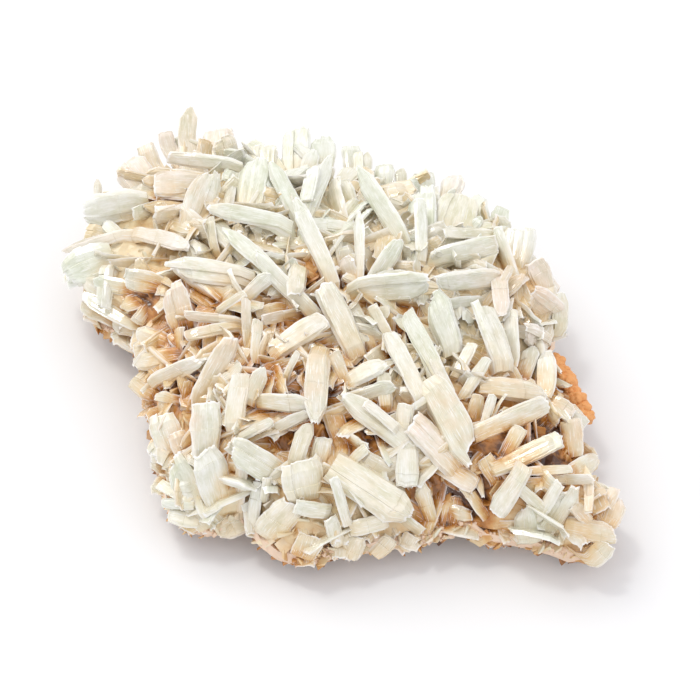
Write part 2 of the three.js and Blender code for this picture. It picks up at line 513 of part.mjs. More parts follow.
// Ragged lumps around the crust's rim.
const RIM_LUMPS = { count: 8, radius: 1.9, spread: 0.4, inward: 0.8, flat: 0.5 };
function rimLumps() {
  return Array.from({ length: RIM_LUMPS.count }, (_, i) => {
    const angle = ((i + 0.2 * Math.sin(3 * i)) / RIM_LUMPS.count) * 2 * Math.PI - Math.PI;
    const { x, y } = atPolar(angle, CRUST.scaleAt(angle), -RIM_LUMPS.inward);
    const middle = new THREE.Vector3(x, y, (undersideAt(x, y) + crustTopAt(x, y)) / 2);
    return lump(middle, RIM_LUMPS.radius + RIM_LUMPS.spread * Math.sin(1.7 * i), i, RIM_LUMPS.flat);
  });
}

// The crust: a slab with a lumpy rim, less the nest that the rust sits in.
function crustSolid() {
  const plate = slab({ ...CRUST, low: undersideAt, high: crustTopAt });
  return wasm.Manifold.union([plate, bulge(0), ...rimLumps()]).subtract(rustyLumps(GAP));
}

// The blades and the massive barite that they grow from, less the room that the crust and the rust take.
function bladesSolid() {
  const bed = slab({ ...BED, low: () => 1, high: bedTopAt });
  const seen = [...BACK_BLADES, ...LEFT_BLADES, ...MIDDLE_BLADES, ...FRONT_BLADES, ...RIGHT_BLADES];
  const blades = [...seen.filter((blade) => blade.wide > SMALLEST_BLADE).map(placed), ...fillBlades()];
  const plates = blades.map((blade) => solidFrom(new ConvexGeometry(bladeCorners(blade))));
  const roomTop = (x, y) => crustTopAt(x, y) + CRUST_ROOM.above;
  const crustRoom = slab({ ...CRUST, low: () => -1, high: roomTop, grow: CRUST_ROOM.around });
  const grown = wasm.Manifold.union([bed, ...plates]);
  return grown.subtract(crustRoom).subtract(bulge(GAP)).subtract(rustyLumps(GAP));
}

// A named mesh of a solid in one colour.
function piece(name, solid, color, roughness) {
  const material = new THREE.MeshStandardMaterial({ color, roughness, metalness: 0 });
  const mesh = new THREE.Mesh(geometryFrom(withoutChips(solid)), material);
  mesh.name = name;
  return mesh;
}

const cluster = new THREE.Group();
cluster.add(piece("barite_blades", bladesSolid(), 0xe1e7dc, 0.3));
cluster.add(piece("matrix_crust", crustSolid(), 0xd9a67e, 0.85));
cluster.add(piece("iron_oxide_lumps", rustyLumps(0), 0xc8642a, 0.8));
const middle = new THREE.Box3().setFromObject(cluster).getCenter(new THREE.Vector3());
cluster.position.set(-middle.x, -middle.y, 0);

export default cluster;
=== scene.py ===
"""Looks of a blue barite cluster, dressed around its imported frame.

Blades of barite cross in every direction over a thin crust, with rusty lumps on the right edge. Sizes in the
classes are millimetres, in the part's own frame; a mesh is brought to metres when its object is made.
"""

import logging
import math
from collections.abc import Callable
from dataclasses import dataclass, field, fields
from enum import Enum
from functools import cached_property

import bmesh
import bpy
import numpy as np
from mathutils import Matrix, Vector, noise


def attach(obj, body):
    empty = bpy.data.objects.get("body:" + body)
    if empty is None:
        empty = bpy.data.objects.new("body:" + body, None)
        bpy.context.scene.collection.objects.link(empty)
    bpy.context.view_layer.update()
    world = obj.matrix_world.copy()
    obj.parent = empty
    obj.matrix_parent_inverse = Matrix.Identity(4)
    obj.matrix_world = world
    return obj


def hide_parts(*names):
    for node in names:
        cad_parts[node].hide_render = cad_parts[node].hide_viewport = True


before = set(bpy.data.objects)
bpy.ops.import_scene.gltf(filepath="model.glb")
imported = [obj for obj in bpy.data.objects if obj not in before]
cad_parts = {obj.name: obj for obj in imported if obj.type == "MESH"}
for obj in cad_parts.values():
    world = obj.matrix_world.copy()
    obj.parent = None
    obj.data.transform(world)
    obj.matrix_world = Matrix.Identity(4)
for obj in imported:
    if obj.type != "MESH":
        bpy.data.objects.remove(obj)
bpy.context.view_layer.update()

MM = 0.001
BODY = "root"
RIM_SECTION = ((0.84, 1.05), (0.9, 1.05), (0.935, 0.85), (0.95, 0.5), (0.935, 0.15), (0.9, 0.0), (0.84, 0.0))
LOG = logging.getLogger("barite")
Surface = Callable[[np.ndarray, np.ndarray], np.ndarray]


def smoothstep(low: float, high: float, value: np.ndarray) -> np.ndarray:
    """Eases from 0 at one limit to 1 at the other.

    Args:
        low: Where the result starts to leave 0.
        high: Where the result reaches 1.
        value: The values to ease.

    Returns:
        The eased values, from 0 to 1.
    """
    share = np.clip((value - low) / (high - low), 0, 1)
    return share * share * (3 - 2 * share)


def unit(vector: np.ndarray) -> np.ndarray:
    """Scales a vector to length 1.

    Args:
        vector: Any vector that isn't zero.

    Returns:
        The vector of length 1 in the same direction.
    """
    return vector / np.linalg.norm(vector)


def srgb(hex_colour: str) -> tuple[float, float, float, float]:
    """Turns a hexadecimal display colour into Blender's linear colour.

    Args:
        hex_colour: Six hexadecimal digits.

    Returns:
        Red, green, blue and an alpha of 1.
    """
    shares = [int(hex_colour[i:i + 2], 16) / 255 for i in (0, 2, 4)]
    linear = [s / 12.92 if s <= 0.04045 else ((s + 0.055) / 1.055) ** 2.4 for s in shares]
    return (*linear, 1.0)


class End(Enum):
    """Ways that a blade ends: the end's share of the width, and how much shorter its second corner is."""

    POINT = (0.3, 0.04)
    BLUNT = (0.86, 0.03)
    SLANT = (0.6, 0.2)
    ROUND = (0.45, 0.08)


class Tint(Enum):
    """Colours of the barite, from its pale blue-green to what iron has stained."""

    ICE = "e6eada"
    MILK = "f0f1e6"
    CREAM = "f0ebd6"
    PEACH = "f4e8dc"
    BEIGE = "ece3cd"
    HONEY = "e6cb95"
    SMOKE = "dddccb"


POINT, BLUNT, SLANT, ROUND = End
ICE, MILK, CREAM, PEACH, BEIGE, HONEY, SMOKE = Tint


@dataclass(frozen=True)
class Viewpoint:
    """The photograph's viewpoint, by which its pixels become places in the part's frame."""

    picture: int = 700
    left: int = 53
    right: int = 630
    cluster_width: float = 104.0
    elevation: float = math.radians(50)
    distance: float = 500.0
    aim: tuple[float, float, float] = (3.5, -4.6, 12.0)

    @property
    def mm_per_pixel(self) -> float:
        """How many millimetres a pixel covers at the aim."""
        return self.cluster_width / (self.right - self.left)

    @property
    def back(self) -> np.ndarray:
        """The direction from the aim to the eye."""
        return np.array([0, -math.cos(self.elevation), math.sin(self.elevation)])

    @property
    def up(self) -> np.ndarray:
        """The direction that is up in the picture."""
        return np.array([0, math.sin(self.elevation), math.cos(self.elevation)])

    @property
    def eye(self) -> np.ndarray:
        """Where the eye is."""
        return np.array(self.aim) + self.back * self.distance

    def seen_at(self, pixel: tuple[float, float], height: float) -> np.ndarray:
        """Finds the point at a height that shows at a pixel.

        Args:
            pixel: The pixel's column and row.
            height: The height over the resting face.

        Returns:
            The point.
        """
        ray = -self.back * self.distance
        ray[0] += (pixel[0] - self.picture / 2) * self.mm_per_pixel
        ray += self.up * (self.picture / 2 - pixel[1]) * self.mm_per_pixel
        return self.eye + ray * ((height - self.eye[2]) / ray[2])


@dataclass(frozen=True)
class Hollow:
    """A dip in the cluster, at the pixel where the photograph looks down into it."""

    pixel: tuple[int, int]
    deep: float
    wide: float


@dataclass(frozen=True)
class Stain:
    """A patch where the barite is peach (warm) or iron-stained (iron), centred on a pixel."""

    pixel: tuple[int, int]
    wide: float
    warm: float
    iron: float


@dataclass(frozen=True)
class Soak:
    """How iron has soaked the barite, with the painted shade that darkens it in its depths: from which depth
    under the envelope to which, how near the rim, as shares of the way to it, and how strongly."""

    patch_height: float = 16
    rim_share: tuple[float, float] = (0.8, 0.92)
    rim_height: tuple[float, float] = (2.5, 7.5)
    rim_warm: float = 0.8
    rim_iron: float = 0.75
    outer_share: tuple[float, float] = (0.78, 0.96)
    outer_loss: float = 0.5
    # Depth stains below: partly iron stain, partly painted shade; the deepest one is painted shade only.
    shallow: tuple[float, float] = (-3, 2.5)
    shallow_iron: float = 0.3
    low: tuple[float, float] = (0.4, 5.6)
    low_iron: float = 0.25
    low_gain: float = 0.95
    deepest: tuple[float, float] = (4.6, 8)
    deepest_iron: float = 0.6


@dataclass(frozen=True)
class Form:
    """The cluster's body: its outline, domed envelope and crust, and the massive barite under the blades."""

    view: Viewpoint
    soak: Soak = Soak()
    dome_height: float = 25.0
    dome_power: int = 4
    rim_back: float = 19.0
    rim_front: float = 8.0
    past_rim: float = 1.02
    approach: float = 0.6
    approaches: int = 20
    bed_depth: float = 3.0
    bed_wave: float = 0.8
    bed_over_crust: float = 1.4
    root_depth: float = 2.4
    root_slope: float = 0.7
    root_inset: float = 1
    root_margin: float = 0.08
    crust_thickness: float = 2.6
    crust_middle: float = 4.5
    rim_lift: float = 4.6
    flat_share: float = 0.5
    gap: float = 0.35
    bed_scale: tuple[float, float] = (0.965, 0.86)
    outline: tuple[tuple[int, int, int], ...] = (
        (56, 262, 13), (66, 300, 10), (96, 322, 9), (128, 342, 9), (128, 375, 9), (136, 410, 9),
        (141, 448, 8), (150, 484, 7), (160, 516, 6), (174, 536, 6), (196, 548, 5), (222, 541, 5),
        (240, 538, 5), (262, 560, 5), (290, 572, 5), (330, 571, 5), (372, 561, 5), (404, 553, 5),
        (440, 553, 5), (470, 543, 5), (492, 551, 5), (520, 551, 5), (548, 557, 5), (580, 568, 5),
        (602, 570, 5), (620, 555, 6), (628, 520, 8), (614, 486, 10), (602, 460, 11), (590, 416, 12),
        (566, 376, 13), (566, 345, 13), (572, 318, 13), (566, 282, 14), (552, 256, 15), (540, 228, 17),
        (508, 210, 18), (484, 194, 18), (460, 174, 19), (396, 166, 19), (350, 146, 20), (322, 134, 20),
        (292, 126, 20), (262, 142, 19), (226, 130, 18), (190, 122, 18), (160, 134, 18), (136, 148, 17),
        (110, 172, 16), (84, 198, 15), (78, 228, 14),
    )
    hollows: tuple[Hollow, ...] = (
        Hollow((352, 352), 2.5, 13),
        Hollow((452, 492), 4, 8),
        Hollow((214, 345), 2, 8),
        Hollow((232, 512), 3, 6),
    )
    stains: tuple[Stain, ...] = (
        Stain((150, 175), 11, 0.4, 0.05),
        Stain((215, 150), 7, 0.3, 0),
        Stain((190, 228), 9, 0.5, 0.2),
        Stain((168, 210), 3, 0.3, 0.9),
        Stain((148, 302), 4, 0.3, 0.7),
        Stain((300, 390), 17, 0.5, 0.85),
        # Partly stain, partly painted shade of the middle hollow.
        Stain((350, 325), 13, 0.2, 0.6),
        Stain((195, 350), 13, 0.7, 0.85),
        Stain((485, 465), 12, 0.45, 0.55),
        Stain((220, 342), 6, 0.2, 0.8),
        Stain((190, 392), 5, 0.3, 0.6),
        Stain((310, 300), 5, 0.1, 0.6),
        # Partly stain, partly painted shade of the middle hollow.
        Stain((330, 405), 7, 0.1, 0.8),
        Stain((205, 372), 6, 0.2, 0.8),
        Stain((400, 355), 6, 0, 0.7),
        Stain((366, 436), 6, 0, 0.9),
        Stain((524, 300), 10, 0.6, 0.15),
        Stain((510, 400), 9, 0.5, 0.4),
        Stain((560, 385), 5, 0.5, 0.9),
        Stain((545, 430), 7, 0.4, 0.9),
        Stain((545, 468), 6, 0.2, 0.9),
        Stain((440, 430), 9, 0.5, 0.3),
        Stain((455, 495), 8, 0.3, 1),
        Stain((180, 440), 4, 0.8, 0.4),
        Stain((138, 400), 5, 0.8, 0.6),
        Stain((195, 546), 5, 0.5, 0.9),
        Stain((232, 520), 5, 0.5, 0.7),
        Stain((285, 560), 9, 1, 1),
        Stain((400, 545), 12, 0.5, 0.4),
        Stain((610, 505), 7, 1, 0.5),
        Stain((590, 435), 5, 0.7, 0.5),
    )

    @cached_property
    def corners(self) -> np.ndarray:
        """The outline's corners in the part's frame."""
        return np.array([self.view.seen_at((px, py), height) for px, py, height in self.outline])

    @cached_property
    def heart(self) -> np.ndarray:
        """The middle of the outline's corners."""
        return self.corners.mean(axis=0)

    @cached_property
    def spokes(self) -> tuple[np.ndarray, np.ndarray]:
        """Measures the lines from the heart to the corners.

        Returns:
            Their angles and lengths, sorted, and over three turns.
        """
        across = self.corners[:, :2] - self.heart[:2]
        angles = np.arctan2(across[:, 1], across[:, 0])
        order = np.argsort(angles, kind="stable")
        reach = np.hypot(across[:, 0], across[:, 1])[order]
        turns = np.concatenate([angles[order] + turn for turn in (-2 * math.pi, 0, 2 * math.pi)])
        return turns, np.tile(reach, 3)

    @cached_property
    def hollow_centres(self) -> list[np.ndarray]:
        """Where the hollows are in plan."""
        return [self.view.seen_at(hollow.pixel, self.rim_back) for hollow in self.hollows]

    def reach(self, angle: np.ndarray) -> np.ndarray:
        """Measures from the heart to the outline.

        Args:
            angle: The directions, in radians.

        Returns:
            The outline's distance in each direction.
        """
        return np.interp(angle, *self.spokes)

    def polar(self, x: np.ndarray, y: np.ndarray) -> tuple[np.ndarray, np.ndarray]:
        """Finds where points of the plan lie from the heart.

        Args:
            x: Places to the right.
            y: Places to the back.

        Returns:
            Their angles, and their share of the way to the outline.
        """
        dx, dy = x - self.heart[0], y - self.heart[1]
        angle = np.arctan2(dy, dx)
        return angle, np.hypot(dx, dy) / self.reach(angle)

    def at_polar(self, angle: np.ndarray, share: np.ndarray) -> tuple[np.ndarray, np.ndarray]:
        """Finds points of the plan by angle and share of the way to the outline.

        Args:
            angle: The directions from the heart.
            share: The shares of the way to the outline.

        Returns:
            The points' places to the right and to the back.
        """
        reach = self.reach(angle) * share
        return self.heart[0] + reach * np.cos(angle), self.heart[1] + reach * np.sin(angle)

    def edge_scale(self, scale: tuple[float, float], angle: np.ndarray) -> np.ndarray:
        """Finds how near a rim comes to the outline.

        Args:
            scale: The rim's share of the way at the front and at the back.
            angle: The directions from the heart.

        Returns:
            The share in each direction, which changes mostly behind the middle.
        """
        return scale[0] + (scale[1] - scale[0]) * ((1 + np.sin(angle)) / 2) ** 2

    def envelope(self, x: np.ndarray, y: np.ndarray) -> np.ndarray:
        """Finds the height of the envelope of the blades' tips.

        Args:
            x: Places to the right.
            y: Places to the back.

        Returns:
            The heights.
        """
        angle, share = self.polar(x, y)
        rim = self.rim_front + (self.rim_back - self.rim_front) * (1 + np.sin(angle)) / 2
        height = rim + (self.dome_height - rim) * (1 - np.minimum(share, self.past_rim) ** self.dome_power)
        for hollow, centre in zip(self.hollows, self.hollow_centres):
            away = (x - centre[0]) ** 2 + (y - centre[1]) ** 2
            height = height - hollow.deep * np.exp(-away / hollow.wide ** 2)
        return height

    def on_envelope(self, pixel: tuple[float, float], lift: float) -> np.ndarray:
        """Finds the point at a pixel that lies a given height over the envelope.

        Args:
            pixel: The pixel's column and row.
            lift: The height over the envelope.

        Returns:
            The point.
        """
        point = self.view.seen_at(pixel, self.dome_height)
        for _ in range(self.approaches):
            step = self.view.seen_at(pixel, float(self.envelope(point[0], point[1])) + lift)
            point = point + (step - point) * self.approach
        return point

    def unevenness(self, x: np.ndarray, y: np.ndarray) -> np.ndarray:
        """A slow wave over the plan, from -1 to 1.

        Args:
            x: Places to the right.
            y: Places to the back.

        Returns:
            The wave's values.
        """
        long_wave = 0.5 * np.sin(0.31 * x + 0.17 * y + 1) + 0.3 * np.sin(0.23 * y - 0.4 * x)
        return long_wave + 0.2 * np.sin(0.7 * (x + y))

    def underside(self, x: np.ndarray, y: np.ndarray) -> np.ndarray:
        """Finds the height of the crust's underside.

        Args:
            x: Places to the right.
            y: Places to the back.

        Returns:
            The heights, 0 over the flat spot.
        """
        raised = smoothstep(self.flat_share, self.past_rim, self.polar(x, y)[1])
        return (self.rim_lift + self.unevenness(x, y)) * raised

    def crust_top(self, x: np.ndarray, y: np.ndarray) -> np.ndarray:
        """Finds the height of the crust's top.

        Args:
            x: Places to the right.
            y: Places to the back.

        Returns:
            The heights.
        """
        rim = self.rim_lift + self.crust_thickness + self.unevenness(x, y)
        return self.crust_middle + (rim - self.crust_middle) * np.minimum(self.polar(x, y)[1], 1) ** 2

    def bed_top(self, x: np.ndarray, y: np.ndarray) -> np.ndarray:
        """Finds the height of the massive barite's top.

        Args:
            x: Places to the right.
            y: Places to the back.

        Returns:
            The heights.
        """
        bed = self.envelope(x, y) - self.bed_depth + self.bed_wave * self.unevenness(2 * x, 2 * y)
        return np.maximum(bed, self.crust_top(x, y) + self.bed_over_crust)

    def root_of(self, foot: np.ndarray) -> np.ndarray:
        """Finds the place in the massive barite that a blade grows from: below its foot, towards the heart.

        Args:
            foot: The blade's foot.

        Returns:
            The root.
        """
        angle, share = self.polar(foot[0], foot[1])
        deep = max(foot[2] - self.bed_top(foot[0], foot[1]), 0)
        inwards = share - (self.root_slope * deep + self.root_inset) / self.reach(angle)
        widest = self.edge_scale(self.bed_scale, angle) - self.root_margin
        x, y = self.at_polar(angle, max(min(inwards, widest), 0))
        height = min(self.bed_top(x, y) - self.root_depth, foot[2] - 1)
        return np.array([x, y, max(height, self.crust_top(x, y) + 2 * self.gap)])

    def staining(self, points: np.ndarray) -> tuple[np.ndarray, np.ndarray]:
        """Works out how warm and how iron-stained points are: by patches, and by depth under the envelope,
        where the colour grows browner and darker: partly iron stain, partly painted shade in the gaps and
        hollows.

        Args:
            points: The points, one a row.

        Returns:
            The warmth and the iron stain of each point, with the painted shade of the depths in the stain,
            from 0 to 1.
        """
        soak = self.soak
        x, y, height = points.T
        deep, share = self.envelope(x, y) - height, self.polar(x, y)[1]
        warm, iron = np.zeros(len(points)), np.zeros(len(points))
        for stain in self.stains:
            centre = self.view.seen_at(stain.pixel, soak.patch_height)
            near = np.exp(-((x - centre[0]) ** 2 + (y - centre[1]) ** 2) / stain.wide ** 2)
            warm, iron = np.maximum(warm, near * stain.warm), np.maximum(iron, near * stain.iron)
        rim = smoothstep(*soak.rim_share, share) * (1 - smoothstep(*soak.rim_height, height))
        warm, iron = np.maximum(warm, soak.rim_warm * rim), np.maximum(iron, soak.rim_iron * rim)
        # Towards the rim, the depth stain and painted shade fade.
        inner = 1 - soak.outer_loss * smoothstep(*soak.outer_share, share)
        # Browner and darker with depth under the envelope: partly iron stain, partly painted shade in the
        # gaps.
        low = smoothstep(*soak.low, deep) * inner
        # The iron patches grow stronger under the envelope: partly stain, partly painted shade where blades
        # lie in hollows.
        shallow = soak.shallow_iron * iron * smoothstep(*soak.shallow, deep)
        # Painted shade: dark brown in the deepest gaps.
        deepest = soak.deepest_iron * smoothstep(*soak.deepest, deep) * inner ** 3
        return warm, np.clip(low * (soak.low_iron + soak.low_gain * iron) + shallow + deepest, 0, 1)


@dataclass
class Dice:
    """A repeatable stream of numbers from 0 to 1, the one that places the frame's own fill blades."""

    state: int

    def roll(self) -> float:
        """Draws the next number."""
        self.state = (self.state * 1664525 + 1013904223) % 2 ** 32
        return self.state / 2 ** 32

    def between(self, low: float, high: float) -> float:
        """Draws a number from low to high."""
        return low + (high - low) * self.roll()


@dataclass(frozen=True)
class Plate:
    """A blade: a flat plate from foot to tip, with its wide face along normal and a keel down to its root."""

    foot: np.ndarray
    tip: np.ndarray
    root: np.ndarray
    normal: np.ndarray
    wide: float
    thick: float
    end: End
    tint: Tint


@dataclass(frozen=True)
class Seen:
    """A blade read from the photograph: the pixels of its foot and tip, its width, the heights of both over
    the envelope, how it ends, the degrees that its wide face turns from the viewer, and its tint."""

    foot: tuple[int, int]
    tip: tuple[int, int]
    wide: float
    lifts: tuple[float, float]
    end: End
    turn: float
    tint: Tint
    thickness: float = 0.2

    def placed(self, form: Form) -> Plate:
        """Finds where the blade is in the part's frame.

        Args:
            form: The cluster's body.

        Returns:
            The blade in its place.
        """
        foot = form.on_envelope(self.foot, self.lifts[0])
        tip = form.on_envelope(self.tip, self.lifts[1])
        axis = unit(tip - foot)
        sight = form.view.eye - tip
        turn = math.radians(self.turn)
        normal = sight * math.cos(turn) + np.cross(axis, sight) * math.sin(turn)
        normal += axis * np.dot(axis, sight) * (1 - math.cos(turn))
        thick = self.wide * self.thickness
        return Plate(foot, tip, form.root_of(foot), normal, self.wide, thick, self.end, self.tint)


@dataclass(frozen=True)
class FillRow:
    """A row of blades that the photograph hardly shows: how many, how far out and how far under the envelope
    their tips are, and the angles between which the row runs."""

    count: int
    share: float
    drop: float
    start: float
    stop: float


@dataclass(frozen=True)
class SeenBlades:
    """The blades read from the photograph, by region."""

    back: tuple[Seen, ...] = (
        Seen((187, 152), (191, 103), 3.8, (-3, 3), POINT, 15, BEIGE),
        Seen((217, 154), (216, 125), 6.6, (-3, 1), BLUNT, -12, PEACH),
        Seen((230, 160), (224, 136), 5.4, (-3, 1.5), SLANT, 20, BEIGE),
        Seen((172, 154), (166, 130), 3.6, (-3, 1), BLUNT, 18, PEACH),
        Seen((153, 168), (143, 143), 4, (-4, 0), BLUNT, -10, BEIGE),
        Seen((148, 190), (124, 158), 7.4, (-4, 1), SLANT, 8, PEACH),
        Seen((98, 204), (98, 178), 1.8, (-3, 0.5), POINT, 0, CREAM),
        Seen((148, 205), (82, 216), 7.2, (-2.5, 1.5), SLANT, -14, MILK),
        Seen((207, 182), (154, 182), 6, (-2, 1), BLUNT, 18, PEACH),
        Seen((241, 166), (166, 158), 3, (-1.5, 1), BLUNT, -20, MILK),
        Seen((190, 231), (216, 166), 6.6, (-3, 2), SLANT, 10, MILK),
        Seen((171, 224), (166, 200), 4.2, (-4, -1), BLUNT, 25, HONEY),
        Seen((294, 170), (296, 122), 5.8, (-4, 2), BLUNT, -14, MILK),
        Seen((324, 170), (324, 131), 5.6, (-4, 1), SLANT, 16, ICE),
        Seen((262, 174), (262, 141), 5.8, (-4, 1), BLUNT, -6, CREAM),
        Seen((246, 214), (258, 152), 6.6, (-3, 2), SLANT, -12, ICE),
        Seen((302, 220), (272, 158), 3.6, (-2, 3), POINT, 24, ICE),
        Seen((331, 278), (292, 196), 3.6, (0, 3.2), ROUND, -16, MILK),
        Seen((304, 224), (334, 152), 3.4, (-2, 3), POINT, 12, MILK),
        Seen((300, 218), (312, 163), 3.2, (-2, 2.6), BLUNT, -30, ICE),
        Seen((291, 222), (206, 208), 3.6, (0, 2), ROUND, 14, ICE),
        Seen((346, 216), (332, 180), 6.6, (-4, -1), BLUNT, -8, CREAM),
        Seen((354, 226), (310, 221), 2.8, (-2, 0.5), BLUNT, 28, MILK),
        Seen((354, 172), (352, 143), 4.2, (-4, 0), BLUNT, 10, MILK),
        Seen((358, 174), (357, 150), 2.2, (-3, 0.5), BLUNT, -16, CREAM),
        Seen((367, 174), (368, 150), 2.2, (-3, 0.5), POINT, 12, CREAM),
        Seen((384, 192), (383, 162), 4.2, (-4, 0.5), BLUNT, -10, MILK),
        Seen((403, 190), (401, 166), 2.8, (-4, 0), SLANT, 20, CREAM),
        Seen((425, 198), (425, 169), 5, (-4, 0.5), BLUNT, 8, MILK),
        Seen((448, 198), (455, 171), 4.6, (-4, 0.5), SLANT, -12, PEACH),
        Seen((450, 234), (466, 188), 9, (-3, 1.5), SLANT, 6, CREAM),
        Seen((420, 254), (420, 180), 6, (-3, 2), BLUNT, -10, ICE),
        Seen((424, 256), (421, 196), 3, (-1, 3), BLUNT, 26, MILK),
        Seen((404, 242), (352, 166), 4.6, (-1.5, 2.5), POINT, -22, ICE),
        Seen((371, 286), (403, 238), 3.8, (-1, 2.6), SLANT, 16, ICE),
        Seen((359, 278), (358, 208), 2.4, (-1, 3), POINT, -24, MILK),
        Seen((497, 226), (505, 205), 3.6, (-3, 0), BLUNT, 6, ICE),
        Seen((514, 266), (521, 223), 7, (-4, 1), BLUNT, -8, MILK),
        Seen((503, 233), (446, 231), 2.4, (-2, 0.5), BLUNT, 22, CREAM),
    )
    left: tuple[Seen, ...] = (
        Seen((132, 230), (60, 252), 2.4, (-2, 0), POINT, 10, PEACH),
        Seen((128, 228), (187, 243), 3.6, (-2, 1), SLANT, -18, PEACH),
        Seen((113, 256), (62, 276), 8.4, (-3, 1.2), SLANT, 8, ICE),
        Seen((104, 262), (99, 304), 2, (-2, 1.6), BLUNT, 20, MILK),
        Seen((112, 262), (108, 308), 2.4, (-2, 1.8), BLUNT, -24, MILK),
        Seen((128, 322), (80, 292), 3, (-2, 0.5), SLANT, 14, CREAM),
        Seen((160, 286), (122, 279), 4.8, (-2.5, 1), BLUNT, -16, SMOKE),
        Seen((153, 296), (118, 306), 3.4, (-4, -2), POINT, 22, HONEY),
        Seen((152, 304), (137, 325), 3, (-4, -1.5), BLUNT, -12, BEIGE),
        Seen((148, 326), (144, 342), 3, (-4, -1.5), BLUNT, 18, HONEY),
        Seen((168, 346), (132, 334), 4.6, (-3, 0), SLANT, -8, MILK),
        Seen((179, 352), (130, 362), 4, (-2, 0.5), SLANT, 20, MILK),
        Seen((183, 332), (170, 282), 5.6, (-3, 1.5), SLANT, -14, PEACH),
        Seen((252, 276), (164, 264), 5.2, (-1, 2.2), ROUND, 16, MILK),
        Seen((243, 322), (183, 317), 2.2, (-1, 1), BLUNT, -26, MILK),
        Seen((244, 323), (184, 334), 2.4, (-1.5, 1.2), BLUNT, 24, ICE),
        Seen((226, 354), (208, 328), 3.6, (-6, -4), BLUNT, 6, HONEY),
        Seen((184, 338), (207, 366), 3.4, (-3, -0.5), BLUNT, -14, BEIGE),
        Seen((197, 403), (236, 336), 4.6, (-2, 2), SLANT, 18, BEIGE),
        Seen((226, 382), (246, 346), 3.6, (-4, -1), BLUNT, -30, SMOKE),
        Seen((146, 387), (198, 363), 3.6, (-1, 1.5), SLANT, 22, MILK),
        Seen((147, 395), (128, 380), 3, (-3, -0.5), BLUNT, -10, BEIGE),
        Seen((186, 414), (190, 380), 2.2, (-5, -2), BLUNT, 12, HONEY),
        Seen((173, 410), (181, 390), 2.6, (-6, -4), BLUNT, -8, HONEY),
        Seen((248, 347), (247, 296), 2, (-2, 1.2), BLUNT, 18, MILK),
        Seen((212, 313), (244, 292), 1.8, (-1, 1.6), BLUNT, -20, ICE),
        Seen((243, 300), (273, 273), 3, (-1.5, 1.6), SLANT, 12, MILK),
        Seen((213, 247), (208, 216), 2.2, (-2, 1), BLUNT, -16, CREAM),
        Seen((275, 270), (222, 225), 3.4, (0, 2.6), POINT, 20, ICE),
        Seen((313, 313), (250, 255), 3.6, (-0.5, 2.2), SLANT, -18, ICE),
        Seen((288, 306), (257, 312), 2.8, (-3, -1), BLUNT, 14, HONEY),
        Seen((303, 312), (264, 322), 2.4, (-2.5, 0), BLUNT, -22, PEACH),
        Seen((255, 362), (260, 318), 2.6, (-1.5, 1.6), BLUNT, 26, CREAM),
    )
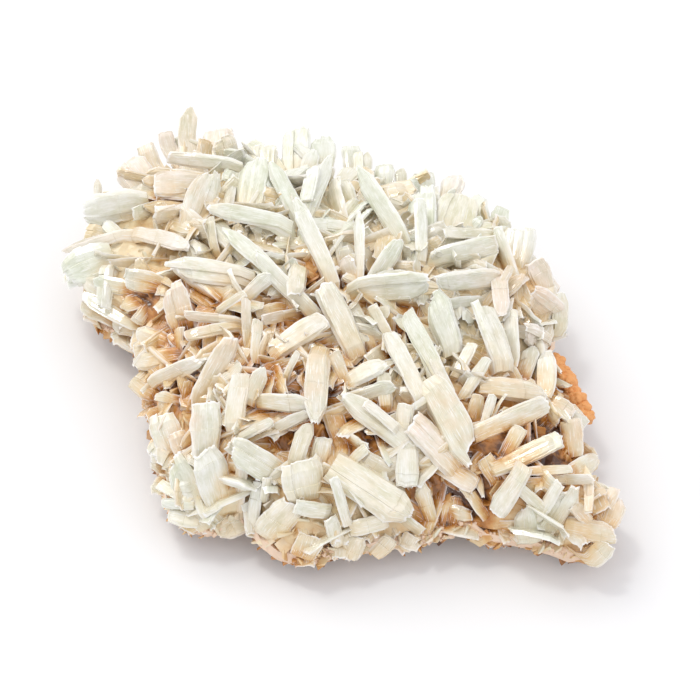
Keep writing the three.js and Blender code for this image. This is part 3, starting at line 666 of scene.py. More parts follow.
    middle: tuple[Seen, ...] = (
        Seen((268, 353), (325, 315), 4.6, (-1, 2.4), BLUNT, -20, MILK),
        Seen((284, 379), (299, 351), 1.4, (-1, 1.5), BLUNT, 10, ICE),
        Seen((301, 400), (300, 358), 4.4, (-5, -3), BLUNT, 16, SMOKE),
        Seen((320, 342), (315, 418), 4.6, (1, 4), POINT, -8, SMOKE),
        Seen((359, 356), (323, 280), 5, (-1, 2), BLUNT, 12, SMOKE),
        Seen((301, 260), (296, 292), 4, (-1, 2.6), SLANT, -16, CREAM),
        Seen((348, 292), (430, 286), 6.2, (-1, 2), SLANT, 14, ICE),
        Seen((453, 353), (428, 289), 5.4, (-1, 3), SLANT, -12, ICE),
        Seen((413, 273), (377, 275), 2.2, (0, 2.4), ROUND, 18, MILK),
        Seen((353, 285), (342, 258), 3.8, (-3, 0.5), SLANT, -20, PEACH),
        Seen((427, 402), (388, 328), 3.6, (0, 2.6), BLUNT, 22, MILK),
        Seen((442, 380), (401, 310), 3.8, (0, 2.6), BLUNT, -14, ICE),
        Seen((427, 378), (474, 462), 6.6, (1, 3.4), SLANT, 10, ICE),
        Seen((390, 340), (369, 305), 2.6, (-1, 1), BLUNT, -24, CREAM),
        Seen((375, 350), (352, 301), 2.8, (-2.5, 0), BLUNT, 16, SMOKE),
        Seen((344, 380), (386, 359), 4, (-0.5, 2.4), SLANT, -28, MILK),
        Seen((387, 410), (384, 370), 3, (-1.5, 1), BLUNT, 8, CREAM),
        Seen((346, 402), (396, 386), 3.2, (-1.5, 0.6), SLANT, 18, ICE),
        Seen((345, 382), (331, 352), 2.6, (-2, 0.4), BLUNT, -16, SMOKE),
        Seen((503, 278), (438, 284), 4.2, (-1, 2), SLANT, -18, MILK),
        Seen((434, 258), (499, 246), 4.4, (-1.5, 1.6), BLUNT, 14, ICE),
        Seen((485, 300), (446, 306), 2.6, (-2, 0.5), BLUNT, -22, ICE),
        Seen((508, 368), (482, 296), 5, (0, 3), BLUNT, 16, MILK),
        Seen((498, 263), (504, 313), 3.4, (-1, 1.6), SLANT, -14, PEACH),
        Seen((475, 330), (451, 328), 2.2, (-5, -3), BLUNT, 8, HONEY),
        Seen((456, 375), (473, 341), 2.4, (-2, 0.5), BLUNT, -18, CREAM),
        Seen((454, 396), (432, 355), 2.4, (-1, 1), BLUNT, 24, MILK),
        Seen((463, 396), (488, 356), 2.4, (-2, 1), BLUNT, -12, ICE),
        Seen((421, 453), (343, 393), 4.6, (-0.5, 2), ROUND, 16, ICE),
        Seen((409, 444), (408, 487), 4.4, (0, 2.5), BLUNT, -10, MILK),
        Seen((401, 431), (366, 400), 2.2, (0.5, 2.4), BLUNT, 26, MILK),
        Seen((402, 438), (404, 403), 3.4, (-1.5, 1), BLUNT, -18, CREAM),
        Seen((461, 471), (413, 419), 5.4, (-1.5, 1.6), BLUNT, 14, PEACH),
        Seen((438, 463), (476, 485), 4, (-2, 0.5), BLUNT, -8, PEACH),
        Seen((347, 456), (330, 405), 4.4, (-4, -1.5), BLUNT, 12, SMOKE),
        Seen((350, 461), (366, 447), 2.2, (-2, 0), BLUNT, -14, CREAM),
        Seen((391, 460), (372, 430), 3.4, (-5, -3), BLUNT, 18, HONEY),
        Seen((403, 481), (365, 461), 3.4, (-3, -1), BLUNT, -20, BEIGE),
        Seen((254, 401), (310, 406), 3.8, (-1, 2), SLANT, 16, ICE),
        Seen((234, 439), (272, 419), 2.2, (-0.5, 1.6), BLUNT, -24, SMOKE),
        Seen((271, 432), (310, 413), 2.6, (-1, 1.4), SLANT, 20, SMOKE),
        Seen((292, 467), (307, 422), 3.4, (-1, 1.8), SLANT, -12, CREAM),
        Seen((318, 471), (325, 438), 3.8, (-3, -0.5), BLUNT, 14, MILK),
    )
    front: tuple[Seen, ...] = (
        Seen((206, 458), (207, 401), 5.8, (-2, 2.4), BLUNT, 12, MILK),
        Seen((231, 431), (239, 371), 4.2, (-1, 2.4), BLUNT, -16, MILK),
        Seen((249, 404), (266, 367), 3.2, (-1, 2), POINT, 20, ICE),
        Seen((276, 475), (230, 447), 5.6, (-1.5, 2), SLANT, -10, ICE),
        Seen((308, 502), (302, 465), 8, (-2, 2), BLUNT, 8, CREAM),
        Seen((249, 538), (257, 483), 2.6, (-2, 0.5), BLUNT, -22, MILK),
        Seen((264, 504), (268, 479), 2, (-2, 0.5), BLUNT, 16, CREAM),
        Seen((262, 540), (293, 505), 6.2, (-2, 0.5), SLANT, 10, CREAM),
        Seen((333, 463), (415, 516), 7.6, (0, 2.5), ROUND, -14, CREAM),
        Seen((350, 531), (389, 522), 3.4, (-1, 1), BLUNT, 20, CREAM),
        Seen((350, 528), (336, 477), 2.4, (0.5, 2.5), BLUNT, 26, MILK),
        Seen((331, 514), (295, 508), 3, (-1, 1.2), BLUNT, -18, ICE),
        Seen((341, 550), (332, 519), 3, (-2, 0), BLUNT, 12, MILK),
        Seen((431, 526), (418, 486), 3.2, (-2, 0.5), SLANT, -20, CREAM),
        Seen((448, 536), (454, 499), 6, (-3, 0), SLANT, 8, BEIGE),
        Seen((489, 518), (465, 484), 2.6, (-3, 0), BLUNT, 24, HONEY),
        Seen((208, 530), (171, 455), 6.4, (-2, 1.5), SLANT, -14, ICE),
        Seen((222, 506), (208, 451), 6.4, (-2, 1.8), SLANT, 16, MILK),
        Seen((172, 452), (158, 411), 6, (-3, 0.5), BLUNT, -8, MILK),
        Seen((189, 500), (157, 481), 2.4, (-2, 0.5), BLUNT, 20, CREAM),
        Seen((191, 506), (160, 503), 2, (-2, 0.5), BLUNT, -16, ICE),
        Seen((197, 521), (167, 513), 3.2, (-3, -0.5), BLUNT, 14, CREAM),
        Seen((238, 514), (240, 465), 2.4, (-3, -0.5), BLUNT, -24, PEACH),
        Seen((186, 457), (176, 431), 4, (-4, -1), BLUNT, 10, PEACH),
        Seen((372, 561), (392, 540), 3.4, (-3, -1), BLUNT, 18, BEIGE),
        Seen((401, 553), (410, 536), 3, (-3, -1), BLUNT, -14, BEIGE),
        Seen((300, 563), (312, 539), 5.4, (-3, -1), BLUNT, 12, SMOKE),
        Seen((345, 562), (356, 537), 4.4, (-3, -1), SLANT, -10, BEIGE),
    )
    right: tuple[Seen, ...] = (
        Seen((479, 435), (553, 405), 4.2, (0, 2), BLUNT, 18, MILK),
        Seen((483, 384), (549, 393), 4.4, (-1, 1.6), SLANT, -14, CREAM),
        Seen((495, 467), (563, 435), 4, (0, 2), BLUNT, -20, ICE),
        Seen((527, 463), (493, 515), 4.2, (0.5, 3), BLUNT, 12, MILK),
        Seen((503, 456), (520, 426), 3, (-3, -0.5), BLUNT, -16, CREAM),
        Seen((529, 441), (561, 413), 3.6, (-4, -1.5), BLUNT, 22, HONEY),
        Seen((573, 456), (568, 417), 4.4, (-3, 0.5), BLUNT, -12, BEIGE),
        Seen((569, 477), (604, 457), 4, (-1.5, 1), SLANT, 16, ICE),
        Seen((524, 471), (573, 468), 1.8, (-1.5, 0.8), BLUNT, -8, CREAM),
        Seen((521, 483), (595, 479), 2, (-1, 1), BLUNT, 20, MILK),
        Seen((548, 515), (514, 485), 2.6, (-1, 1.4), BLUNT, -18, ICE),
        Seen((543, 540), (573, 489), 4.8, (-1, 2.2), SLANT, 14, ICE),
        Seen((536, 519), (558, 483), 2.6, (-0.5, 1.6), BLUNT, -24, MILK),
        Seen((590, 477), (587, 511), 1.8, (-1, 1.6), BLUNT, 12, CREAM),
        Seen((530, 550), (526, 507), 5.6, (-2, 1), ROUND, -10, ICE),
        Seen((567, 528), (619, 539), 4.4, (-2, 0.5), SLANT, 18, CREAM),
        Seen((587, 563), (607, 543), 4.6, (-3, -0.5), SLANT, -12, SMOKE),
        Seen((604, 526), (617, 493), 6, (-3, 0), SLANT, 8, PEACH),
        Seen((603, 507), (613, 484), 3.6, (-3, 0), BLUNT, -16, PEACH),
        Seen((595, 525), (576, 505), 2.8, (-2, 0), BLUNT, 20, BEIGE),
        Seen((498, 483), (483, 459), 3.4, (-3, -1), BLUNT, -14, HONEY),
        Seen((554, 347), (529, 333), 5, (-2, 1), SLANT, 10, PEACH),
        Seen((564, 320), (533, 299), 6, (-3, 0.5), SLANT, -12, PEACH),
        Seen((562, 334), (562, 291), 3.6, (-2, 0.8), ROUND, 18, ICE),
        Seen((513, 366), (509, 307), 3, (-2, 0.5), BLUNT, -20, SMOKE),
        Seen((549, 292), (536, 261), 4.6, (-3, 0.5), BLUNT, 12, PEACH),
        Seen((545, 396), (546, 348), 4.2, (-2, 1), SLANT, -10, MILK),
        Seen((501, 286), (513, 265), 1.8, (-1, 1.2), BLUNT, 16, CREAM),
        Seen((550, 397), (574, 413), 3.6, (-2, 0.5), SLANT, -18, PEACH),
        Seen((471, 432), (480, 394), 3, (-4, -1), BLUNT, 14, HONEY),
        Seen((546, 500), (527, 485), 3, (-4, -1.5), BLUNT, -8, HONEY),
        Seen((484, 427), (495, 394), 2, (-2, 0.6), BLUNT, 22, MILK),
    )

    def regions(self) -> dict[str, tuple[Seen, ...]]:
        """The blades of each region by the region's name."""
        return {f.name: getattr(self, f.name) for f in fields(self)}


@dataclass(frozen=True)
class FillBlades:
    """Blades over the back half of the dome and down the walls at the back and both sides."""

    seed: int = 7
    thick: float = 1.7
    least_drop: float = 0.7
    drop_range: float = 0.6
    fan: float = 1.8
    length: tuple[float, float] = (9, 14)
    wide: tuple[float, float] = (4, 7)
    over_crust: float = 1
    foot_depth: float = 2.6
    foot_rise: float = 1.5
    foot_fall: float = 3
    face_up: float = 0.9
    tints: tuple[Tint, ...] = (MILK, ICE, CREAM, PEACH, ICE, BEIGE)
    tints_a_radian: int = 7
    rows: tuple[FillRow, ...] = (
        FillRow(3, 0.58, 0.8, 1.4, math.pi - 0.3),
        FillRow(7, 0.8, 1, 0.5, math.pi - 0.1),
        FillRow(11, 0.98, 1.8, 0.1, math.pi + 0.1),
        FillRow(12, 0.99, 6.5, -0.35, math.pi),
    )

    def plate(self, form: Form, dice: Dice, angle: float, row: FillRow) -> Plate:
        """Places one blade, which leans outwards from its root with its wide face up.

        Args:
            form: The cluster's body.
            dice: The numbers that vary the blade.
            angle: The direction from the heart.
            row: The row that the blade is in.

        Returns:
            The blade in its place.
        """
        x, y = form.at_polar(angle, row.share)
        under = form.envelope(x, y) - row.drop * (self.least_drop + self.drop_range * dice.roll())
        tip = np.array([x, y, max(under, form.crust_top(x, y) + self.over_crust)])
        heading = angle + self.fan * (dice.roll() - 0.5)
        length = dice.between(*self.length)
        foot = tip - length * np.array([math.cos(heading), math.sin(heading), 0])
        highest = form.envelope(foot[0], foot[1]) - self.foot_depth
        foot[2] = min(highest, tip[2] + self.foot_rise - self.foot_fall * dice.roll())
        normal = np.array([dice.roll() - 0.5, dice.roll() - 0.5, self.face_up])
        wide = dice.between(*self.wide)
        end = BLUNT if dice.roll() < 0.5 else SLANT
        tint = self.tints[int(angle * self.tints_a_radian) % len(self.tints)]
        return Plate(foot, tip, form.root_of(foot), normal, wide, self.thick, end, tint)

    def plates(self, form: Form) -> list[Plate]:
        """Places every blade of every row.

        Args:
            form: The cluster's body.

        Returns:
            The blades in their places.
        """
        dice = Dice(self.seed)
        placed = []
        for row in self.rows:
            steps = [(i + dice.roll()) / row.count for i in range(row.count)]
            angles = [row.start + (row.stop - row.start) * step for step in steps]
            placed += [self.plate(form, dice, angle, row) for angle in angles]
        return placed


@dataclass
class MeshBuffer:
    """Gathers the corners, faces and per-corner values of one piece, in millimetres."""

    points: list[np.ndarray] = field(default_factory=list)
    quads: list[np.ndarray] = field(default_factory=list)
    uvs: list[np.ndarray] = field(default_factory=list)
    tints: list[np.ndarray] = field(default_factory=list)
    # Each corner's share of the painted highlight along a blade edge.
    edges: list[np.ndarray] = field(default_factory=list)
    feet: list[np.ndarray] = field(default_factory=list)
    size: int = 0

    def add(self, points: np.ndarray, quads: np.ndarray, uvs: np.ndarray, tint: np.ndarray,
            edge: np.ndarray, foot: np.ndarray) -> None:
        """Adds a closed body.

        Args:
            points: Its corners.
            quads: Its faces, by corner.
            uvs: Each corner's place across and along, in millimetres.
            tint: Its colour.
            edge: Each corner's nearness to a blade edge, where a highlight is painted, from 0 to 1.
            foot: Each corner's nearness to the foot, from 0 to 1.
        """
        self.points.append(points)
        self.quads.append(quads + self.size)
        self.uvs.append(uvs)
        self.tints.append(np.tile(tint, (len(points), 1)))
        self.edges.append(edge)
        self.feet.append(foot)
        self.size += len(points)

    def mesh(self, name: str, form: Form, material: bpy.types.Material) -> bpy.types.Mesh:
        """Makes the mesh, in metres.

        Args:
            name: The mesh's name.
            form: The cluster's body, which says where the barite is stained.
            material: The mesh's material.

        Returns:
            The mesh with its values, map and material.
        """
        points = np.concatenate(self.points)
        quads = np.concatenate(self.quads)
        mesh = bpy.data.meshes.new(name)
        mesh.from_pydata((points * MM).tolist(), [], quads.tolist())
        tints, edges, feet = (np.concatenate(values) for values in (self.tints, self.edges, self.feet))
        put_stains(mesh, form, tints, edges, feet)
        layer = mesh.uv_layers.new(name="Grain")
        layer.data.foreach_set("uv", np.concatenate(self.uvs)[quads.ravel()].astype(np.float32).ravel())
        mesh.materials.append(material)
        return mesh


def slab_quads(stations: int, columns: int) -> np.ndarray:
    """Lists the faces of a closed slab whose top and bottom are grids of corners, the top's corners first.

    Args:
        stations: How many rows of corners run along it.
        columns: How many corners a row holds.

    Returns:
        The faces, by corner, seen anticlockwise from outside.
    """
    top = np.arange(stations * columns).reshape(stations, columns)
    low = top + stations * columns
    faces = [
        np.stack([top[:-1, :-1], top[:-1, 1:], top[1:, 1:], top[1:, :-1]], -1).reshape(-1, 4),
        np.stack([low[:-1, :-1], low[1:, :-1], low[1:, 1:], low[:-1, 1:]], -1).reshape(-1, 4),
        np.stack([top[:-1, 0], top[1:, 0], low[1:, 0], low[:-1, 0]], -1),
        np.stack([top[:-1, -1], low[:-1, -1], low[1:, -1], top[1:, -1]], -1),
        np.stack([low[0, :-1], low[0, 1:], top[0, 1:], top[0, :-1]], -1),
        np.stack([low[-1, :-1], top[-1, :-1], top[-1, 1:], low[-1, 1:]], -1),
    ]
    return np.concatenate(faces)


def put_values(mesh: bpy.types.Mesh, name: str, kind: str, key: str, values: np.ndarray) -> None:
    """Writes a per-corner value to a mesh.

    Args:
        mesh: The mesh.
        name: The value's name.
        kind: Its data type.
        key: The property that holds it.
        values: The values of the corners, in order.
    """
    layer = mesh.attributes.new(name, kind, "POINT")
    layer.data.foreach_set(key, values.astype(np.float32).ravel())


def put_stains(mesh: bpy.types.Mesh, form: Form, tints: np.ndarray, edges: np.ndarray,
               feet: np.ndarray) -> None:
    """Writes the tint, the painted highlight along each blade edge, the warmth, and the iron stain with the
    painted shade of the depths, of barite to a mesh.

    Args:
        mesh: The mesh, in metres.
        form: The cluster's body.
        tints: The corners' colours.
        edges: The corners' nearness to a bright edge.
        feet: The corners' nearness to a blade's foot.
    """
    points = np.empty(len(mesh.vertices) * 3, np.float32)
    mesh.vertices.foreach_get("co", points)
    warm, iron = form.staining(points.reshape(-1, 3).astype(float) / MM)
    put_values(mesh, "tint", "FLOAT_COLOR", "color", tints)
    # edge holds the painted highlight along a blade edge; iron holds iron stain with painted shade by depth.
    for name, values in (("edge", edges), ("foot", feet), ("warm", warm), ("iron", iron)):
        put_values(mesh, name, "FLOAT", "value", values)


def put_even_stains(mesh: bpy.types.Mesh, form: Form, tints: np.ndarray, foot: float) -> None:
    """Writes the tint and the stains of barite other than the blades, which has no painted highlight.

    Args:
        mesh: The mesh, in metres.
        form: The cluster's body.
        tints: The corners' colours.
        foot: The corners' nearness to a blade's foot.
    """
    count = len(mesh.vertices)
    put_stains(mesh, form, tints, np.zeros(count), np.full(count, foot))


@dataclass(frozen=True)
class BladeSizes:
    """How a blade is built of sub-parallel lamellae, in millimetres or as shares of the blade."""

    lamella: float = 3.1
    column: float = 0.55
    fewest_columns: int = 3
    cut: float = 0.015
    uneven_cuts: float = 0.3
    rise: tuple[float, float] = (-0.6, 0.04)
    full_rise: float = 4
    ridge: float = 0.022
    chamfer: float = 0.025
    bow: float = 0.018
    shortest: float = 0.84
    rounding: float = 0.06
    square: float = 0.6
    jag: float = 0.014
    step: tuple[float, float] = (0.04, 0.2)
    flat: tuple[float, float] = (0.6, 0.95)
    bevel: tuple[float, float] = (0.12, 0.5)
    tip_bevel: tuple[float, float] = (0.08, 0.3)
    askew: float = 0.1
    dive: float = 0.2
    keel: float = 0.42
    stations: tuple[float, ...] = (0, 0.14, 0.3, 0.48, 0.64, 0.78, 0.88, 0.95, 0.985, 1)
    width_at: tuple[float, ...] = (0, 0.3, 0.6, 0.8, 1)
    widths: tuple[float, ...] = (0.82, 0.95, 1, 0.98)
    narrowest: float = 0.86
    wavy: float = 0.035
    wavy_from: float = 0.9
    step_at: tuple[float, float] = (0.25, 0.85)
    step_run: float = 0.012
    dive_until: float = 0.16
    under_length: float = 0.97
    under_width: float = 0.94
    thickness: tuple[float, float] = (0.9, 1.1)
    root_width: float = 0.5
    root_curve: float = 1.5
    grain_range: float = 50
    # How strongly the sides of a blade get the painted highlight.
    side_edge: float = 0.8
    tint_range: float = 0.04


@dataclass
class Facets:
    """The facets of one blade: where its flat top stops on either side, and how deep those beside it go."""

    flat: np.ndarray
    bevel: np.ndarray
    tip_bevel: float
    tip_drop: float = 0.8

    def drop(self, places: np.ndarray, stations: np.ndarray, half: float, thick: float) -> np.ndarray:
        """Finds how far the top lies under the flat plate.

        Args:
            places: Places across the blade, from -1 to 1.
            stations: Places along the blade, from 0 to 1.
            half: Half of the blade's width.
            thick: The blade's thickness.

        Returns:
            The drop, by station and place.
        """
        side = (places > 0).astype(int)
        beside = np.maximum(np.abs(places) - self.flat[side], 0) / (1 - self.flat[side])
        beyond = np.maximum(stations - 1 + self.tip_bevel, 0) / self.tip_bevel
        return (beside * self.bevel[side] * half)[None, :] + (beyond * thick * self.tip_drop)[:, None]


@dataclass
class Section:
    """A blade's columns of corners, from edge to edge across its lamellae: where each column is across the
    blade, how far it reaches along it, and how far it stands off the flat plate."""

    places: np.ndarray
    ends: np.ndarray
    heights: np.ndarray


@dataclass
class BladeBuilder:
    """Builds blades: one shell each, with parallel lamellae, facets, low steps and broken ends."""

    sizes: BladeSizes
    rng: np.random.Generator

    def section(self, plate: Plate) -> Section:
        """Divides a blade into lamellae, and those into columns.

        Args:
            plate: The blade.

        Returns:
            The blade's columns.
        """
        sizes, rng = self.sizes, self.rng
        count = max(1, round(plate.wide / sizes.lamella))
        cuts = np.linspace(-1, 1, count + 1)
        cuts[1:-1] += rng.uniform(-sizes.uneven_cuts, sizes.uneven_cuts, count - 1) * 2 / count
        slant = plate.end.value[1] + rng.uniform(-sizes.askew, sizes.askew)
        places, ends, heights = [], [], []
        for low, high in zip(cuts[:-1], cuts[1:]):
            columns = max(sizes.fewest_columns, round((high - low) * plate.wide / 2 / sizes.column) + 1)
            across = np.linspace(low + sizes.cut, high - sizes.cut, columns)
            whole = 1 - max(slant, 0) * (0.5 - 0.5 * across) + min(slant, 0) * (0.5 + 0.5 * across)
            whole = whole - sizes.rounding * np.abs(across)
            level = whole.mean() * rng.uniform(sizes.shortest, 1)
            jagged = rng.uniform(-sizes.jag, sizes.jag, columns)
            ridges = rng.uniform(-1, 1, columns) * sizes.ridge
            ridges[[0, -1]] -= sizes.chamfer
            places.append(across)
            ends.append(np.minimum((1 - sizes.square) * whole + sizes.square * level + jagged, 1))
            heights.append(rng.uniform(*sizes.rise) * min(1, plate.wide / sizes.full_rise) + ridges)
        reached = np.concatenate(ends)
        return Section(np.concatenate(places), reached / reached.max(), np.concatenate(heights))

    def aside(self, plate: Plate, places: np.ndarray, stations: np.ndarray, along: np.ndarray) -> np.ndarray:
        """Finds how far a blade's corners lie to the side of its axis.

        Args:
            plate: The blade.
            places: Its columns' places across, from -1 to 1.
            stations: Its stations along, from 0 to 1.
            along: Each corner's share of the way to the tip.

        Returns:
            The distances, by station and column.
        """
        sizes, rng = self.sizes, self.rng
        half, length = plate.wide / 2, np.linalg.norm(plate.tip - plate.foot)
        narrowed = rng.uniform(sizes.narrowest, 1, len(sizes.width_at))
        widths = np.array((*sizes.widths, plate.end.value[0])) * narrowed
        widths = np.interp(stations, sizes.width_at, widths)[:, None]
        wavy = rng.uniform(-sizes.wavy, sizes.wavy, along.shape) * (np.abs(places) > sizes.wavy_from)
        straight = half * places[None, :] * widths + half * wavy
        return straight + rng.uniform(-1, 1) * sizes.bow * length * along ** 2

    def rooted(self, plate: Plate, thin: np.ndarray, stations: np.ndarray, low: np.ndarray) -> np.ndarray:
        """Draws the corners under a blade down to its root.

        Args:
            plate: The blade.
            thin: The corners of a plain plate's underside.
            stations: The blade's stations along, from 0 to 1.
            low: Where the columns meet the root, from the foot.

        Returns:
            The corners of the underside, with its keel.
        """
        near_foot = np.clip(1 - stations / self.sizes.keel, 0, 1)
        share = (near_foot ** self.sizes.root_curve)[:, None, None]
        return thin * (1 - share) + (plate.foot + low)[None] * share

    def blade(self, plate: Plate, buffer: MeshBuffer) -> None:
        """Builds one blade.

        Args:
            plate: The blade.
            buffer: Where it is added.
        """
        sizes, rng = self.sizes, self.rng
        flat, bevel, tip_bevel = sizes.flat, sizes.bevel, sizes.tip_bevel
        facets = Facets(rng.uniform(*flat, 2), rng.uniform(*bevel, 2), rng.uniform(*tip_bevel))
        axis, keel, half = plate.tip - plate.foot, plate.root - plate.foot, plate.wide / 2
        across = unit(np.cross(axis, plate.normal))
        face = unit(np.cross(across, axis))
        section = self.section(plate)
        places, columns = section.places, len(section.places)
        step_at = rng.uniform(*sizes.step_at)
        stations = np.sort(np.array(sizes.stations + (step_at, step_at + sizes.step_run)))
        along = stations[:, None] * section.ends[None, :]
        aside = self.aside(plate, places, stations, along)
        height = section.heights[None, :] - facets.drop(places, stations, half, plate.thick)
        height = height - (stations[:, None] > step_at) * rng.uniform(*sizes.step)
        sunk = (np.maximum(1 - stations / sizes.dive_until, 0) * sizes.dive)[:, None, None]
        top = plate.foot + along[..., None] * axis + aside[..., None] * across + height[..., None] * face
        top = top + sunk * keel
        thin = plate.foot + along[..., None] * sizes.under_length * axis
        thin = thin + sizes.under_width * aside[..., None] * across
        thin = thin - (plate.thick * rng.uniform(*sizes.thickness)) * face
        low = keel + (places * half * sizes.root_width)[:, None] * across
        bottom = self.rooted(plate, thin, stations, low)
        points = np.concatenate([top.reshape(-1, 3), bottom.reshape(-1, 3)])
        length = np.linalg.norm(axis)
        grain = np.stack([np.broadcast_to(places * half, along.shape), along * length], -1).reshape(-1, 2)
        uvs = np.concatenate([grain, grain + (plate.wide, 0)]) + rng.uniform(0, sizes.grain_range, 2)
        # Painted highlight: the side columns and the tip end of the top are whitened; the underside gets
        # none.
        edge = np.zeros_like(along)
        edge[:, [0, -1]] = sizes.side_edge
        edge[-2:] = 1
        edges = np.concatenate([edge.ravel(), np.zeros(edge.size)])
        feet = np.tile(np.repeat(1 - stations, columns), 2)
        tint = np.array(srgb(plate.tint.value))
        tint[:3] *= 1 + rng.uniform(-sizes.tint_range, sizes.tint_range)
        buffer.add(points, slab_quads(len(stations), columns), uvs, tint, edges, feet)


@dataclass(frozen=True)
class SmallBlades:
    """What the small blades have in common: their widths, thickness, roots and ends."""

    wide: tuple[float, float]
    ends: tuple[End, ...]
    root_drop: float
    root_share: float = 0.2
    thickness: float = 0.24

    def plate(self, rng: np.random.Generator, foot: np.ndarray, tip: np.ndarray, normal: np.ndarray,
              tints: tuple[Tint, ...]) -> Plate:
        """Picks a blade's width, end and tint.

        Args:
            rng: The numbers that vary the blade.
            foot: Its foot.
            tip: Its tip.
            normal: The direction of its wide face.
            tints: The tints that it may have.

        Returns:
            The blade in its place.
        """
        wide = rng.uniform(*self.wide)
        end = self.ends[rng.integers(0, len(self.ends))]
        tint = tints[rng.integers(0, len(tints))]
        root = foot - self.root_share * (tip - foot) - (0, 0, self.root_drop)
        return Plate(foot, tip, root, normal, wide, wide * self.thickness, end, tint)


@dataclass(frozen=True)
class UnderBlades:
    """Slender blades that cross in the gaps under the ones read from the photograph."""

    seed: int = 31
    count: int = 820
    small: SmallBlades = SmallBlades((2.0, 5.2), (BLUNT, SLANT, ROUND, POINT), 1)
    length: tuple[float, float] = (8.0, 15.0)
    tilt: tuple[float, float] = (35.0, 82.0)
    under: tuple[float, float] = (0.3, 2.2)
    foot_depth: tuple[float, float] = (4.2, 5.6)
    foot_over_crust: float = 0.6
    spread: float = 0.93
    spread_scale: tuple[float, float] = (1, 0.95)
    fan_from: float = 0.8
    fan: float = 1.2
    farthest: float = 0.97
    shortest: float = 3
    faces: tuple[float, float, float] = (0, -0.5, 1.1)
    # Darker, warmer tints for the blades in the gaps: partly the barite's own colour, partly painted shade.
    tints: tuple[Tint, ...] = (SMOKE, HONEY, CREAM, BEIGE, HONEY, ICE)

    def plates(self, form: Form) -> list[Plate]:
        """Places every blade.

        Args:
            form: The cluster's body.

        Returns:
            The blades in their places.
        """
        rng = np.random.default_rng(self.seed)
        placed = []
        for _ in range(self.count):
            angle, share = rng.uniform(-math.pi, math.pi), self.spread * math.sqrt(rng.uniform())
            x, y = form.at_polar(angle, share * form.edge_scale(self.spread_scale, angle))
            foot = np.array([x, y, form.envelope(x, y) - rng.uniform(*self.foot_depth)])
            tilt, heading = math.radians(rng.uniform(*self.tilt)), rng.uniform(-math.pi, math.pi)
            if share > self.fan_from:
                heading = angle + rng.uniform(-self.fan, self.fan)
            sideways = np.array([math.cos(heading), math.sin(heading)]) * math.sin(tilt)
            lean = np.array([*sideways, math.cos(tilt)])
            tip = foot + lean * rng.uniform(*self.length)
            tip[2] = min(tip[2], form.envelope(tip[0], tip[1]) - rng.uniform(*self.under))
            tip_share = float(form.polar(tip[0], tip[1])[1])
            if tip_share > self.farthest or np.linalg.norm(tip - foot) < self.shortest:
                continue
            foot[2] = max(foot[2], form.crust_top(x, y) + self.foot_over_crust)
            normal = np.cross(np.cross(lean, rng.normal(size=3)), lean) + self.faces
            placed.append(self.small.plate(rng, foot, tip, normal, self.tints))
        return placed


@dataclass(frozen=True)
class RimBlades:
    """Blades that stand out from the rim, over the crust's edge."""

    seed: int = 43
    count: int = 330
    low_share: float = 0.45
    low_level: float = 0.35
    stained_level: float = 0.3
    small: SmallBlades = SmallBlades((1.8, 5.6), (BLUNT, SLANT, SLANT, ROUND), 0.6)
    length: tuple[float, float] = (4.5, 9.0)
    reach: tuple[float, float] = (0.92, 0.995)
    reach_scale: tuple[float, float] = (1, 0.96)
    inset: float = 0.05
    over_underside: float = 0.9
    under_envelope: float = 0.3
    foot_rise: tuple[float, float] = (-2.5, 1.5)
    foot_over_crust: float = 0.3
    fan: float = 0.65
    outward: float = 0.6
    forward: float = 0.2
    uneven: float = 0.45
    tints: tuple[Tint, ...] = (MILK, ICE, CREAM, MILK, BEIGE)
    low_tints: tuple[Tint, ...] = (BEIGE, PEACH, HONEY)

    def plates(self, form: Form) -> list[Plate]:
        """Places every blade.

        Args:
            form: The cluster's body.

        Returns:
            The blades in their places.
        """
        rng = np.random.default_rng(self.seed)
        placed = []
        for i in range(self.count):
            angle = (i + rng.uniform()) / self.count * 2 * math.pi - math.pi
            level = rng.uniform() * (1 if rng.uniform() > self.low_share else self.low_level)
            inset = 1 - self.inset + self.inset * min(level * 2, 1)
            share = rng.uniform(*self.reach) * inset * float(form.edge_scale(self.reach_scale, angle))
            x, y = form.at_polar(angle, share)
            low = float(form.underside(x, y)) + self.over_underside
            high = float(form.envelope(x, y)) - self.under_envelope
            tip = np.array([x, y, low + (high - low) * level])
            heading = angle + rng.uniform(-self.fan, self.fan)
            foot = tip - rng.uniform(*self.length) * np.array([math.cos(heading), math.sin(heading), 0])
            lowest = float(form.crust_top(foot[0], foot[1])) + self.foot_over_crust
            foot[2] = max(tip[2] + rng.uniform(*self.foot_rise), lowest)
            faces = (math.cos(angle) * self.outward, math.sin(angle) * self.outward - self.forward, 1)
            normal = np.array(faces) + rng.normal(size=3) * self.uneven
            tints = self.low_tints if level < self.stained_level else self.tints
            placed.append(self.small.plate(rng, foot, tip, normal, tints))
        return placed


@dataclass(frozen=True)
class Cap:
    """Sizes of a layered body over the outline: the rings and corners of its grid, and how rough it is."""

    scale: tuple[float, float]
    rings: int
    corners: int
    rough: float
    coarse: float
    fine: float
    fine_share: float = 0.45
    hub: float = 0.03
    ripple: float = 0.7
    ripple_from: float = 0.9
    ripple_turn: float = 2.4
    ripple_turns: int = 30
    low_rough: float = 0.6
    low_shift: float = 9
    flat_below: float = 2
    thinnest: float = 0.3
    waist: float = 0.5


